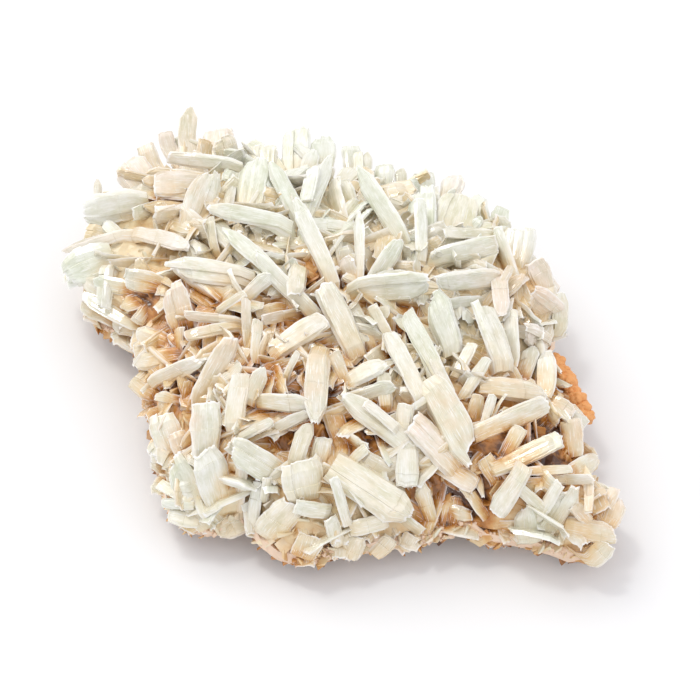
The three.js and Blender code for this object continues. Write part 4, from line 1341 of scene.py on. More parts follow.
@dataclass
class MassiveBarite:
    """The massive barite that the blades grow from, seen in the gaps between them."""

    form: Form
    over_crust: float = 0.3
    under_bed: float = 1.2
    foot: float = 0.6
    cap: Cap = Cap((0.9, 0.81), 40, 220, 1.1, 0.45, 1.7)

    def build(self, finish: "BariteFinish") -> None:
        """Makes the piece.

        Args:
            finish: Its finish.
        """
        form = self.form
        mesh = layered("massive_barite", form, self.cap, lambda x, y: form.crust_top(x, y) + self.over_crust,
                       lambda x, y: form.bed_top(x, y) - self.under_bed, finish.material())
        put_even_stains(mesh, form, np.tile(srgb(CREAM.value), (len(mesh.vertices), 1)), self.foot)
        add_piece("massive_barite", mesh, "barite_blades")


def roughened(points: np.ndarray, cap: Cap) -> np.ndarray:
    """Measures the unevenness of a rough surface at points.

    Args:
        points: The points, in millimetres.
        cap: The body's roughness.

    Returns:
        Each point's height over the smooth surface.
    """
    coarse = np.array([noise.noise(Vector(point * cap.coarse)) for point in points])
    fine = np.array([noise.noise(Vector(point * cap.fine)) for point in points])
    return (coarse + cap.fine_share * fine) * cap.rough


def ring_quads(turns: int, rows: int) -> np.ndarray:
    """Lists the faces of a grid of corners that runs round the heart and closes on itself.

    Args:
        turns: How many corners go round.
        rows: How many corners go across.

    Returns:
        The faces, by corner.
    """
    grid = np.arange(turns * rows).reshape(turns, rows)
    after = np.roll(grid, -1, axis=0)
    return np.stack([grid[:, :-1], grid[:, 1:], after[:, 1:], after[:, :-1]], -1).reshape(-1, 4)


def ring_mesh(name: str, points: np.ndarray) -> bpy.types.Mesh:
    """Makes an open surface that runs round the heart.

    Args:
        name: The mesh's name.
        points: Its corners, by turn and row, in millimetres.

    Returns:
        The mesh, in metres.
    """
    mesh = bpy.data.meshes.new(name)
    quads = ring_quads(points.shape[0], points.shape[1])
    mesh.from_pydata((points.reshape(-1, 3) * MM).tolist(), [], quads.tolist())
    return mesh


def layered(name: str, form: Form, cap: Cap, low: Surface, high: Surface,
            material: bpy.types.Material) -> bpy.types.Mesh:
    """Makes a closed body between two surfaces over the outline, with a rough top, bottom and rim.

    Args:
        name: The mesh's name.
        form: The cluster's body.
        cap: The grid and roughness.
        low: The lower surface's height at a place in plan.
        high: The upper surface's height at a place in plan.
        material: The mesh's material.

    Returns:
        The mesh, in metres.
    """
    angles = np.linspace(-math.pi, math.pi, cap.corners, endpoint=False)
    turn, share = np.meshgrid(angles, np.linspace(cap.hub, 1, cap.rings), indexing="ij")
    wave = np.sin(np.arange(cap.corners) * cap.ripple_turn * cap.ripple_turns / cap.corners)
    ripple = cap.ripple * wave[:, None] * (share > cap.ripple_from)
    x, y = form.at_polar(turn, form.edge_scale(cap.scale, turn) * share)
    x, y = x + ripple * np.cos(turn), y + ripple * np.sin(turn)
    top = np.stack([x, y, high(x, y)], -1)
    bottom = np.stack([x, y, low(x, y)], -1)
    top[..., 2] += roughened(top.reshape(-1, 3), cap).reshape(x.shape)
    raised = np.clip(bottom[..., 2] / cap.flat_below, 0, 1)
    low_noise = roughened(bottom.reshape(-1, 3) + cap.low_shift, cap).reshape(x.shape)
    bottom[..., 2] += low_noise * cap.low_rough * raised
    bottom[..., 2] = np.maximum(bottom[..., 2], 0)
    top[..., 2] = np.maximum(top[..., 2], bottom[..., 2] + cap.thinnest)
    waist = (top[:, -1] + bottom[:, -1]) / 2
    outward = np.stack([np.cos(angles), np.sin(angles), np.zeros(cap.corners)], -1)
    waist += outward * (cap.waist + cap.waist * roughened(waist, cap))[:, None]
    rings = np.concatenate([top, waist[:, None], bottom[:, ::-1]], axis=1)
    rows = rings.shape[1]
    grid = np.arange(cap.corners * rows).reshape(cap.corners, rows)
    hubs = [grid[:, 0].tolist(), grid[::-1, -1].tolist()]
    faces = ring_quads(cap.corners, rows).tolist() + hubs
    mesh = bpy.data.meshes.new(name)
    mesh.from_pydata((rings.reshape(-1, 3) * MM).tolist(), [], faces)
    mesh.materials.append(material)
    return mesh


def add_piece(name: str, mesh: bpy.types.Mesh, node: str) -> None:
    """Makes an object of a mesh, in the place of a node of the frame.

    Args:
        name: The object's name.
        mesh: Its mesh.
        node: The node that it stands for.
    """
    made = bpy.data.objects.new(name, mesh)
    bpy.context.scene.collection.objects.link(made)
    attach(made, BODY)
    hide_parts(node)
    LOG.info("%s: %d triangles", name, sum(len(polygon.vertices) - 2 for polygon in mesh.polygons))


@dataclass
class Crust:
    """The thin crust that the barite grows on, with the bulge that carries the rusty lumps."""

    form: Form
    cap: Cap = Cap((0.935, 0.86), 34, 260, 1.1, 0.5, 1.6)

    def build(self, finish: "CrustFinish") -> None:
        """Makes the piece.

        Args:
            finish: The crust's finish.
        """
        form = self.form
        mesh = layered("crust", form, self.cap, form.underside, form.crust_top, finish.material())
        add_piece("crust", mesh, "matrix_crust")


@dataclass(frozen=True)
class RustSizes:
    """The rusty lumps on the right edge: pixel, height and radius of each, and how knobbly they are."""

    lumps: tuple[tuple[int, int, float, float], ...] = (
        (556, 364, 10.6, 1.7), (562, 373, 10.4, 1.6), (567, 382, 10.2, 1.9), (571, 391, 10, 1.5),
        (576, 400, 10, 1.8), (582, 408, 9.8, 1.6), (586, 417, 9.6, 1.5),
    )
    flat: float = 0.85
    knobs: int = 5
    knob_radius: float = 0.55
    knob_range: tuple[float, float] = (0.6, 1)
    knob_out: float = 0.8
    rough: float = 0.22
    coarse: float = 1.3
    fine: float = 3.5
    fine_share: float = 0.4
    level: int = 4


@dataclass
class RustLumps:
    """Rusty lumps that grow on the right edge."""

    form: Form
    rng: np.random.Generator
    sizes: RustSizes = RustSizes()

    def ball(self, centre: np.ndarray, radius: float, level: int, made: list[bpy.types.Mesh]) -> None:
        """Makes one rough ball.

        Args:
            centre: Its middle, in millimetres.
            radius: Its radius.
            level: How finely it is divided.
            made: The meshes that it is added to.
        """
        sizes = self.sizes
        sphere = bmesh.new()
        bmesh.ops.create_icosphere(sphere, subdivisions=level, radius=radius)
        for vertex in sphere.verts:
            out = vertex.co.normalized()
            place = Vector(centre) + vertex.co
            swell = noise.noise(place * sizes.coarse) + sizes.fine_share * noise.noise(place * sizes.fine)
            vertex.co += out * swell * sizes.rough * radius
            vertex.co.z *= sizes.flat
            vertex.co = (vertex.co + Vector(centre)) * MM
        mesh = bpy.data.meshes.new("ball")
        sphere.to_mesh(mesh)
        sphere.free()
        made.append(mesh)

    def build(self, finish: "RustFinish") -> None:
        """Makes the piece.

        Args:
            finish: The rust's finish.
        """
        sizes, balls = self.sizes, []
        for px, py, height, radius in sizes.lumps:
            centre = self.form.view.seen_at((px, py), height)
            self.ball(centre, radius, sizes.level, balls)
            for _ in range(sizes.knobs):
                out = unit(self.rng.normal(size=3))
                out[2] = abs(out[2])
                small = radius * sizes.knob_radius * self.rng.uniform(*sizes.knob_range)
                self.ball(centre + out * radius * sizes.knob_out, small, sizes.level - 1, balls)
        mesh = joined("iron_oxide", balls, finish.material())
        add_piece("iron_oxide", mesh, "iron_oxide_lumps")


def joined(name: str, meshes: list[bpy.types.Mesh], material: bpy.types.Material) -> bpy.types.Mesh:
    """Joins meshes into one.

    Args:
        name: The new mesh's name.
        meshes: The meshes, which are removed.
        material: The new mesh's material.

    Returns:
        The new mesh.
    """
    whole = bmesh.new()
    for mesh in meshes:
        whole.from_mesh(mesh)
        bpy.data.meshes.remove(mesh)
    made = bpy.data.meshes.new(name)
    whole.to_mesh(made)
    whole.free()
    made.materials.append(material)
    return made


@dataclass
class Graph:
    """Adds nodes to a node tree and links them."""

    tree: bpy.types.NodeTree

    def add(self, kind: str, inputs: dict | None = None, **settings: object) -> bpy.types.Node:
        """Adds a node.

        Args:
            kind: The node's type.
            inputs: What its inputs get, by name or place: a constant or another node's output.
            settings: The node's own properties.

        Returns:
            The node.
        """
        made = self.tree.nodes.new(kind)
        for name, value in settings.items():
            setattr(made, name, value)
        self.feed(made, inputs or {})
        return made

    def feed(self, node: bpy.types.Node, inputs: dict) -> None:
        """Gives the inputs of a node what they take.

        Args:
            node: The node.
            inputs: What its inputs get, by name or place: a constant or another node's output.
        """
        for name, value in inputs.items():
            if isinstance(value, bpy.types.NodeSocket):
                self.tree.links.new(value, node.inputs[name])
            else:
                node.inputs[name].default_value = value

    def scaled(self, value: object, factor: object, plus: object = 0.0) -> bpy.types.NodeSocket:
        """Multiplies a value, and adds another to it."""
        return self.add("ShaderNodeMath", {0: value, 1: factor, 2: plus}, operation="MULTIPLY_ADD").outputs[0]

    def mixed(self, share: object, first: object, second: object, blend: str = "MIX") -> bpy.types.NodeSocket:
        """Mixes two colours.

        Args:
            share: How much of the second one shows.
            first: The first colour.
            second: The second colour.
            blend: How the second colour is laid over the first.

        Returns:
            The mixed colour's output.
        """
        made = self.add("ShaderNodeMix", {0: share, 6: first, 7: second}, data_type="RGBA", blend_type=blend)
        return made.outputs[2]

    def ranged(self, value: object, low: float, high: float, start: float = 0,
               stop: float = 1) -> bpy.types.NodeSocket:
        """Maps a range of values to another.

        Args:
            value: The value.
            low: The value that becomes start.
            high: The value that becomes stop.
            start: The result at the low end.
            stop: The result at the high end.

        Returns:
            The mapped value's output.
        """
        sockets = {"Value": value, "From Min": low, "From Max": high, "To Min": start, "To Max": stop}
        return self.add("ShaderNodeMapRange", sockets).outputs["Result"]

    def noise(self, vector: object, scale: float, detail: float = 3,
              rough: float = 0.55) -> bpy.types.NodeSocket:
        """Adds a noise texture.

        Args:
            vector: Where it is read.
            scale: How fine it is.
            detail: How many finer layers it has.
            rough: How strong the finer layers are.

        Returns:
            The noise value's output.
        """
        sockets = {"Vector": vector, "Scale": scale, "Detail": detail, "Roughness": rough}
        return self.add("ShaderNodeTexNoise", sockets).outputs["Fac"]

    def stretched(self, grain: object, scale: tuple[float, float], detail: float) -> bpy.types.NodeSocket:
        """Adds a noise texture that is stretched along a blade.

        Args:
            grain: The place across and along the blade.
            scale: How fine it is across and along.
            detail: How many finer layers it has.

        Returns:
            The noise value's output.
        """
        vector = self.add("ShaderNodeMapping", {"Vector": grain, "Scale": (*scale, 1)}).outputs[0]
        return self.noise(vector, 1.0, detail, 0.65)

    def ramp(self, value: object, stops: tuple[tuple[float, str], ...]) -> bpy.types.NodeSocket:
        """Adds a colour ramp.

        Args:
            value: The value that is looked up.
            stops: Places and colours.

        Returns:
            The colour's output.
        """
        made = self.add("ShaderNodeValToRGB", {"Fac": value})
        elements = made.color_ramp.elements
        while len(elements) < len(stops):
            elements.new(0.5)
        for element, (place, colour) in zip(elements, stops):
            element.position, element.color = place, srgb(colour)
        return made.outputs["Color"]


def new_group(name: str, inputs: dict[str, str], outputs: dict[str, str],
              kind: str = "ShaderNodeTree") -> tuple[Graph, dict, bpy.types.Node]:
    """Makes an empty node group.

    Args:
        name: The group's name.
        inputs: The kinds of its inputs, by name.
        outputs: The kinds of its outputs, by name.
        kind: The type of its node tree.

    Returns:
        Its graph, the outputs of its input node, and its output node.
    """
    tree = bpy.data.node_groups.new(name, kind)
    for way, sockets in (("INPUT", inputs), ("OUTPUT", outputs)):
        for label, type_name in sockets.items():
            tree.interface.new_socket(label, in_out=way, socket_type=f"NodeSocket{type_name}")
    return Graph(tree), tree.nodes.new("NodeGroupInput").outputs, tree.nodes.new("NodeGroupOutput")


@dataclass(frozen=True)
class Scatter:
    """Copies of a small shape, scattered over a surface by a node tree: the mesh's name, how many copies to a
    square metre, the seed, their sizes in millimetres, and how far they tilt."""

    name: str
    density: float
    seed: int
    smallest: float
    largest: float
    tilt: float

    def tree(self, shape: bpy.types.Object, material: bpy.types.Material) -> bpy.types.NodeTree:
        """Builds the node tree.

        Args:
            shape: The small shape.
            material: The copies' material.

        Returns:
            The node tree.
        """
        kinds = {"Geometry": "Geometry", "Density": "Float", "Smallest": "Float", "Largest": "Float",
                 "Tilt": "Float", "Seed": "Int"}
        graph, given, result = new_group(self.name, kinds, {"Geometry": "Geometry"}, "GeometryNodeTree")
        points = graph.add("GeometryNodeDistributePointsOnFaces", {
            "Mesh": given["Geometry"], "Density": given["Density"], "Seed": given["Seed"]})
        size = graph.add("FunctionNodeRandomValue", {
            2: given["Smallest"], 3: given["Largest"], "Seed": given["Seed"]})
        turn = graph.add("FunctionNodeRandomValue", {0: (-1, -1, -math.pi), 1: (1, 1, math.pi)},
                         data_type="FLOAT_VECTOR")
        limits = graph.add("ShaderNodeCombineXYZ", {"X": given["Tilt"], "Y": given["Tilt"], "Z": 1})
        tilt = graph.add("ShaderNodeVectorMath", {0: turn.outputs[0], 1: limits.outputs[0]},
                         operation="MULTIPLY")
        turned = graph.add("FunctionNodeRotateRotation", {
            "Rotation": points.outputs["Rotation"], "Rotate By": tilt.outputs[0]}, rotation_space="LOCAL")
        small = graph.add("GeometryNodeObjectInfo", {"Object": shape})
        copies = graph.add("GeometryNodeInstanceOnPoints", {
            "Points": points.outputs["Points"], "Instance": small.outputs["Geometry"],
            "Rotation": turned.outputs[0], "Scale": size.outputs[1]})
        real = graph.add("GeometryNodeRealizeInstances", {"Geometry": copies.outputs["Instances"]})
        painted = graph.add("GeometryNodeSetMaterial", {
            "Geometry": real.outputs["Geometry"], "Material": material})
        graph.feed(result, {"Geometry": painted.outputs["Geometry"]})
        return graph.tree

    def over(self, ground: bpy.types.Mesh, shape: bpy.types.Object,
             material: bpy.types.Material) -> bpy.types.Mesh:
        """Scatters the shape over a surface.

        Args:
            ground: The surface, in metres.
            shape: The small shape.
            material: The copies' material.

        Returns:
            A plain mesh of all the copies.
        """
        carrier = bpy.data.objects.new(self.name, ground)
        bpy.context.scene.collection.objects.link(carrier)
        tree = self.tree(shape, material)
        modifier = carrier.modifiers.new(self.name, "NODES")
        modifier.node_group = tree
        given = {"Density": self.density, "Smallest": self.smallest * MM, "Largest": self.largest * MM,
                 "Tilt": self.tilt, "Seed": self.seed}
        for item in tree.interface.items_tree:
            if item.in_out == "INPUT" and item.name in given:
                modifier[item.identifier] = given[item.name]
        bpy.context.view_layer.update()
        graph = bpy.context.evaluated_depsgraph_get()
        made = bpy.data.meshes.new_from_object(carrier.evaluated_get(graph), depsgraph=graph)
        made.name = self.name
        carrier.modifiers.clear()
        bpy.data.objects.remove(carrier)
        bpy.data.objects.remove(shape)
        if not made.materials:
            made.materials.append(material)
        return made


def small_shape(name: str, corners: list[tuple[float, float, float]]) -> bpy.types.Object:
    """Makes the convex shape around a few corners, about 1 long.

    Args:
        name: The shape's name.
        corners: Its corners.

    Returns:
        An object that isn't in the scene.
    """
    hull = bmesh.new()
    for corner in corners:
        hull.verts.new(corner)
    bmesh.ops.convex_hull(hull, input=hull.verts)
    bmesh.ops.recalc_face_normals(hull, faces=hull.faces)
    mesh = bpy.data.meshes.new(name)
    hull.to_mesh(mesh)
    hull.free()
    return bpy.data.objects.new(name, mesh)


@dataclass
class Druse:
    """Small plates of barite that fill the gaps between the blades."""

    form: Form
    scatter: Scatter = Scatter("druse", 95000, 5, 1.3, 3.6, 1.15)
    reach: tuple[float, float] = (0.03, 0.93)
    reach_scale: tuple[float, float] = (1, 0.92)
    corners: int = 150
    rows: int = 16
    drop: float = 2.6
    sink: float = 2
    tints: tuple[Tint, ...] = (MILK, ICE, CREAM, PEACH)

    def ground(self) -> bpy.types.Mesh:
        """Makes the surface under the envelope that the plates stand on.

        Returns:
            The surface, in metres.
        """
        angles = np.linspace(-math.pi, math.pi, self.corners, endpoint=False)
        turn, share = np.meshgrid(angles, np.linspace(*self.reach, self.rows), indexing="ij")
        x, y = self.form.at_polar(turn, self.form.edge_scale(self.reach_scale, turn) * share)
        height = self.form.envelope(x, y) - self.drop - self.sink
        return ring_mesh("ground", np.stack([x, y, height], -1))

    def build(self, finish: "BariteFinish") -> None:
        """Makes the piece.

        Args:
            finish: Its finish.
        """
        shape = small_shape("small_plate", [
            (-0.36, -0.07, -0.7), (0.36, -0.07, -0.7), (-0.4, -0.07, 0.36), (0.34, -0.07, 0.5),
            (-0.36, 0.07, -0.7), (0.36, 0.07, -0.7), (-0.3, 0.06, 0.5), (0.3, 0.06, 0.44),
        ])
        mesh = self.scatter.over(self.ground(), shape, finish.material())
        dress_copies(mesh, self.form, self.scatter.seed, self.tints)
        add_piece("druse", mesh, "barite_blades")


def rim_ground(form: Form, corners: int = 300, scale: tuple[float, float] = (1, 0.91),
               over: float = 0.4) -> bpy.types.Mesh:
    """Makes the surface of the crust's rim, from its top over its edge to its underside.

    Args:
        form: The cluster's body.
        corners: How many corners go round.
        scale: How near the rim comes to the outline at the front and at the back.
        over: How far level 1 lies over the crust's top.

    Returns:
        The surface, in metres, through the shares of the way out and the levels of RIM_SECTION.
    """
    angles = np.linspace(-math.pi, math.pi, corners, endpoint=False)
    rows = []
    for share, level in RIM_SECTION:
        x, y = form.at_polar(angles, form.edge_scale(scale, angles) * share)
        low, high = form.underside(x, y), form.crust_top(x, y) + over
        rows.append(np.stack([x, y, low + (high - low) * level], -1))
    return ring_mesh("rim", np.stack(rows, axis=1))


@dataclass
class RimShards:
    """Broken splinters of barite that stand all round the rim."""

    form: Form
    scatter: Scatter = Scatter("rim_shards", 360000, 12, 0.8, 3.4, 0.9)
    tints: tuple[Tint, ...] = (MILK, ICE, CREAM, BEIGE, PEACH)

    def build(self, finish: "BariteFinish") -> None:
        """Makes the piece.

        Args:
            finish: Its finish.
        """
        shape = small_shape("splinter", [
            (-0.3, -0.09, -0.5), (0.32, -0.1, -0.5), (-0.34, -0.08, 0.3), (0.22, -0.06, 0.62),
            (-0.3, 0.09, -0.5), (0.3, 0.1, -0.5), (-0.2, 0.07, 0.42), (0.12, 0.05, 0.56),
        ])
        mesh = self.scatter.over(rim_ground(self.form), shape, finish.material())
        dress_copies(mesh, self.form, self.scatter.seed, self.tints)
        add_piece("rim_shards", mesh, "barite_blades")


def dress_copies(mesh: bpy.types.Mesh, form: Form, seed: int, tints: tuple[Tint, ...], corners: int = 8,
                 foot: float = 0.4) -> None:
    """Gives each scattered copy of a shape a tint, and stains it.

    Args:
        mesh: The mesh of all the copies.
        form: The cluster's body.
        seed: The seed of the tints' order.
        tints: The tints.
        corners: How many corners a copy has.
        foot: How near its corners are to a blade's foot.
    """
    palette = np.array([srgb(tint.value) for tint in tints])
    picks = np.random.default_rng(seed).integers(0, len(palette), len(mesh.vertices) // corners)
    put_even_stains(mesh, form, np.repeat(palette[picks], corners, axis=0), foot)


@dataclass
class CrustGrains:
    """Grains that stand on the crust's rim."""

    form: Form
    scatter: Scatter = Scatter("crust_grains", 700000, 8, 0.25, 0.75, 3)

    def build(self, finish: "CrustFinish") -> None:
        """Makes the piece.

        Args:
            finish: The crust's finish.
        """
        shape = small_shape("grain", [
            (0.9, 0.1, 0), (-0.8, 0.2, 0.1), (0.1, 0.85, 0), (0, -0.9, 0.15),
            (0.2, 0.1, 0.8), (-0.1, 0, -0.8), (0.5, 0.5, 0.5), (-0.5, -0.5, 0.4),
        ])
        mesh = self.scatter.over(rim_ground(self.form), shape, finish.material())
        add_piece("crust_grains", mesh, "matrix_crust")


@dataclass(frozen=True)
class IronStain:
    """A node group that stains a colour with iron: peach where it is warm, then honey and brown. On the
    blades, its iron input also carries painted shade by depth, so there the honey and brown stand partly for
    shade.
    """

    name: str = "Iron stain"
    patch_scale: float = 420
    blush_scale: float = 260
    foot_share: float = 0.12
    warm_colour: str = "e8c197"
    tones: tuple[tuple[float, str], ...] = ((0, "f4ebc8"), (0.35, "ebc583"), (0.7, "c48136"), (1, "5c3210"))
    shows: tuple[float, float] = (0.06, 0.55)

    def group(self) -> bpy.types.NodeTree:
        """Makes the group, or finds it if it was made before.

        Returns:
            The group.
        """
        if self.name in bpy.data.node_groups:
            return bpy.data.node_groups[self.name]
        kinds = {"Color": "Color", "Warm": "Float", "Iron": "Float", "Foot": "Float", "Patches": "Float"}
        graph, given, result = new_group(self.name, kinds, {"Color": "Color"})
        place = graph.add("ShaderNodeTexCoord").outputs["Object"]
        patches = graph.ranged(graph.noise(place, self.patch_scale, 4, 0.6), 0.3, 0.7, -0.5, 0.5)
        footed = graph.scaled(given["Foot"], self.foot_share, given["Iron"])
        shifted = graph.scaled(graph.scaled(patches, given["Patches"]), footed, footed)
        blush = graph.ranged(graph.noise(place, self.blush_scale, 3, 0.6), 0.35, 0.65, 0.25, 1)
        warmed = graph.mixed(graph.scaled(given["Warm"], blush), given["Color"], srgb(self.warm_colour))
        stained = graph.ramp(shifted, self.tones)
        graph.feed(result, {"Color": graph.mixed(graph.ranged(shifted, *self.shows), warmed, stained)})
        return graph.tree


@dataclass(frozen=True)
class Mottling:
    """A node group that gives an uneven mask and height, coarse and fine."""

    name: str = "Mottling"
    fine_scale: float = 5.0
    fine_share: float = 0.4

    def group(self) -> bpy.types.NodeTree:
        """Makes the group, or finds it if it was made before.

        Returns:
            The group.
        """
        if self.name in bpy.data.node_groups:
            return bpy.data.node_groups[self.name]
        graph, given, result = new_group(self.name, {"Scale": "Float"}, {"Mask": "Float", "Height": "Float"})
        place = graph.add("ShaderNodeTexCoord").outputs["Object"]
        coarse = graph.noise(place, given["Scale"], 4, 0.6)
        fine = graph.noise(place, graph.scaled(given["Scale"], self.fine_scale), 2, 0.5)
        height = graph.scaled(fine, self.fine_share, coarse)
        graph.feed(result, {"Mask": graph.ranged(coarse, 0.32, 0.68), "Height": height})
        return graph.tree


@dataclass(frozen=True)
class Finish:
    """A material with a Principled shader, made once: each kind of finish feeds that shader its own way."""

    name: str

    def dress(self, graph: Graph, shader: bpy.types.Node) -> None:
        """Feeds the shader."""
        raise NotImplementedError

    def material(self) -> bpy.types.Material:
        """Makes the material, or finds it if it was made before.

        Returns:
            The material.
        """
        if self.name in bpy.data.materials:
            return bpy.data.materials[self.name]
        material = bpy.data.materials.new(self.name)
        material.use_nodes = True
        self.dress(Graph(material.node_tree), material.node_tree.nodes["Principled BSDF"])
        return material


@dataclass(frozen=True)
class BariteFinish(Finish):
    """Translucent, glassy barite with fine lengthwise lines, milky patches, iron stains and painted shade in
    its depths, white thread lines that are partly painted glints, and a painted highlight along each blade
    edge.
    """

    name: str = "blue_barite"
    roughness: float = 0.13
    roughness_range: float = 0.14
    transmission: float = 0.06
    subsurface: float = 0.05
    subsurface_scale: float = 0.002
    subsurface_radius: tuple[float, float, float] = (1, 0.9, 0.75)
    ior: float = 1.64
    coat: float = 0.2
    coat_roughness: float = 0.05
    lines: float = 0.16
    lines_depth: float = 0.0002
    lines_scale: tuple[float, float] = (2.2, 0.3)
    streaks: tuple[float, float] = (0.97, 1.02)
    veils_scale: tuple[float, float] = (0.6, 0.26)
    # White thread lines: partly real cleavage, partly painted glints.
    threads_scale: tuple[float, float] = (5.5, 0.3)
    threads: float = 0.6
    thread_colour: str = "fdfcf8"
    clear: float = 0.75
    clear_colour: str = "d8d9c0"
    milky: float = 0.5
    milky_colour: str = "f9f8f1"
    mottling: float = 160
    mottled_height: float = 0.25
    patches: float = 0.55
    # Painted highlight: how strongly each blade edge is whitened.
    edge: float = 0.85
    edge_colour: str = "fefdfa"

    def painted(self, graph: Graph, mask: bpy.types.NodeSocket, lines: bpy.types.NodeSocket,
                grain: bpy.types.NodeSocket) -> bpy.types.NodeSocket:
        """Paints the barite: veils, milky patches, iron stains with painted shade in its depths, streaks,
        white thread lines that are partly painted glints, and a painted highlight along each blade edge.

        Args:
            graph: The material's graph.
            mask: Where the barite is milky.
            lines: The fine lines along a blade.
            grain: The place across and along a blade.

        Returns:
            The colour's output.
        """
        tint = graph.add("ShaderNodeAttribute", attribute_name="tint").outputs["Color"]
        # The iron value also carries the painted shade of the depths, and edge marks where a highlight is
        # painted.
        warm, iron, edge, foot = (graph.add("ShaderNodeAttribute", attribute_name=name).outputs["Fac"]
                                  for name in ("warm", "iron", "edge", "foot"))
        veils = graph.ranged(graph.stretched(grain, self.veils_scale, 3), 0.38, 0.62)
        # Thread lines: partly white cleavage, partly painted glints.
        threads = graph.ranged(graph.stretched(grain, self.threads_scale, 2), 0.57, 0.63, 0, self.threads)
        clear = graph.mixed(self.clear, tint, srgb(self.clear_colour), "MULTIPLY")
        milky = graph.ranged(mask, 0, 1, 0, self.milky)
        clouded = graph.mixed(milky, graph.mixed(veils, clear, tint), srgb(self.milky_colour))
        stain = graph.add("ShaderNodeGroup", {
            "Color": clouded, "Warm": warm, "Iron": iron, "Foot": foot, "Patches": self.patches},
            node_tree=IronStain().group())
        streaks = graph.ranged(lines, 0.32, 0.68, *self.streaks)
        streaky = graph.mixed(1.0, stain.outputs["Color"], streaks, "MULTIPLY")
        threaded = graph.mixed(threads, streaky, srgb(self.thread_colour))
        # Painted highlight: whitens each blade edge.
        return graph.mixed(graph.ranged(edge, 0.2, 1, 0, self.edge), threaded, srgb(self.edge_colour))

    def dress(self, graph: Graph, shader: bpy.types.Node) -> None:
        """Feeds the shader with the painted colour, and with lines in its gloss and its surface.

        Args:
            graph: The material's nodes.
            shader: Its shader.
        """
        mottling = graph.add("ShaderNodeGroup", {"Scale": self.mottling}, node_tree=Mottling().group())
        grain = graph.add("ShaderNodeUVMap", uv_map="Grain").outputs["UV"]
        lines = graph.stretched(grain, self.lines_scale, 3)
        height = graph.scaled(mottling.outputs["Height"], self.mottled_height, lines)
        bump = graph.add("ShaderNodeBump", {
            "Height": height, "Strength": self.lines, "Distance": self.lines_depth})
        low, high = self.roughness - self.roughness_range / 2, self.roughness + self.roughness_range / 2
        graph.feed(shader, {
            "Base Color": self.painted(graph, mottling.outputs["Mask"], lines, grain),
            "Normal": bump.outputs["Normal"], "Roughness": graph.ranged(lines, 0.35, 0.65, low, high),
            "IOR": self.ior, "Transmission Weight": self.transmission,
            "Subsurface Weight": self.subsurface, "Subsurface Scale": self.subsurface_scale,
            "Subsurface Radius": self.subsurface_radius,
            "Coat Weight": self.coat, "Coat Roughness": self.coat_roughness,
        })


@dataclass(frozen=True)
class CrustFinish(Finish):
    """Granular crust, beige to orange, with iron in its pits."""

    name: str = "crust"
    roughness: float = 0.8
    bump: float = 1.0
    bump_depth: float = 0.0009
    mottling: float = 480
    tones: tuple[tuple[float, str], ...] = ((0, "b9733f"), (0.35, "d69f6c"), (0.65, "e6c3a0"), (1, "f0dcc6"))
    patches: float = 1.2
    iron: float = 0.4
    warm: float = 0.2

    def dress(self, graph: Graph, shader: bpy.types.Node) -> None:
        """Feeds the shader with stained, mottled tones and a granular surface.

        Args:
            graph: The material's nodes.
            shader: Its shader.
        """
        mottling = graph.add("ShaderNodeGroup", {"Scale": self.mottling}, node_tree=Mottling().group())
        tone = graph.ramp(mottling.outputs["Mask"], self.tones)
        stain = graph.add("ShaderNodeGroup", {
            "Color": tone, "Warm": self.warm, "Iron": self.iron, "Patches": self.patches},
            node_tree=IronStain().group())
        bump = graph.add("ShaderNodeBump", {
            "Height": mottling.outputs["Height"], "Strength": self.bump, "Distance": self.bump_depth})
        graph.feed(shader, {"Base Color": stain.outputs["Color"], "Normal": bump.outputs["Normal"],
                            "Roughness": self.roughness})


@dataclass(frozen=True)
class RustFinish(Finish):
    """Rusty iron oxide, orange with darker hollows."""

    name: str = "iron_oxide"
    roughness: float = 0.75
    bump: float = 0.5
    bump_depth: float = 0.0004
    mottling: float = 700
    tones: tuple[tuple[float, str], ...] = ((0, "7a3410"), (0.5, "b9581c"), (1, "d67f3a"))

    def dress(self, graph: Graph, shader: bpy.types.Node) -> None:
        """Feeds the shader with mottled tones and a rough surface.

        Args:
            graph: The material's nodes.
            shader: Its shader.
        """
        mottling = graph.add("ShaderNodeGroup", {"Scale": self.mottling}, node_tree=Mottling().group())
        bump = graph.add("ShaderNodeBump", {
            "Height": mottling.outputs["Height"], "Strength": self.bump, "Distance": self.bump_depth})
        graph.feed(shader, {"Base Color": graph.ramp(mottling.outputs["Mask"], self.tones),
                            "Normal": bump.outputs["Normal"], "Roughness": self.roughness})


@dataclass(frozen=True)
class FloorFinish(Finish):
    """Plain pale paper."""

    name: str = "pale_floor"
    colour: str = "eeeeee"
    roughness: float = 0.9
    shine: float = 0.1

    def dress(self, graph: Graph, shader: bpy.types.Node) -> None:
        """Feeds the shader with one plain colour.

        Args:
            graph: The material's nodes.
            shader: Its shader.
        """
        graph.feed(shader, {"Base Color": srgb(self.colour), "Roughness": self.roughness,
                            "Specular IOR Level": self.shine})


@dataclass(frozen=True)
class Lamp:
    """A soft rectangular light: where it is, how wide it is and how strong, in metres and watts."""

    name: str
    place: tuple[float, float, float]
    size: float
    power: float
    colour: str


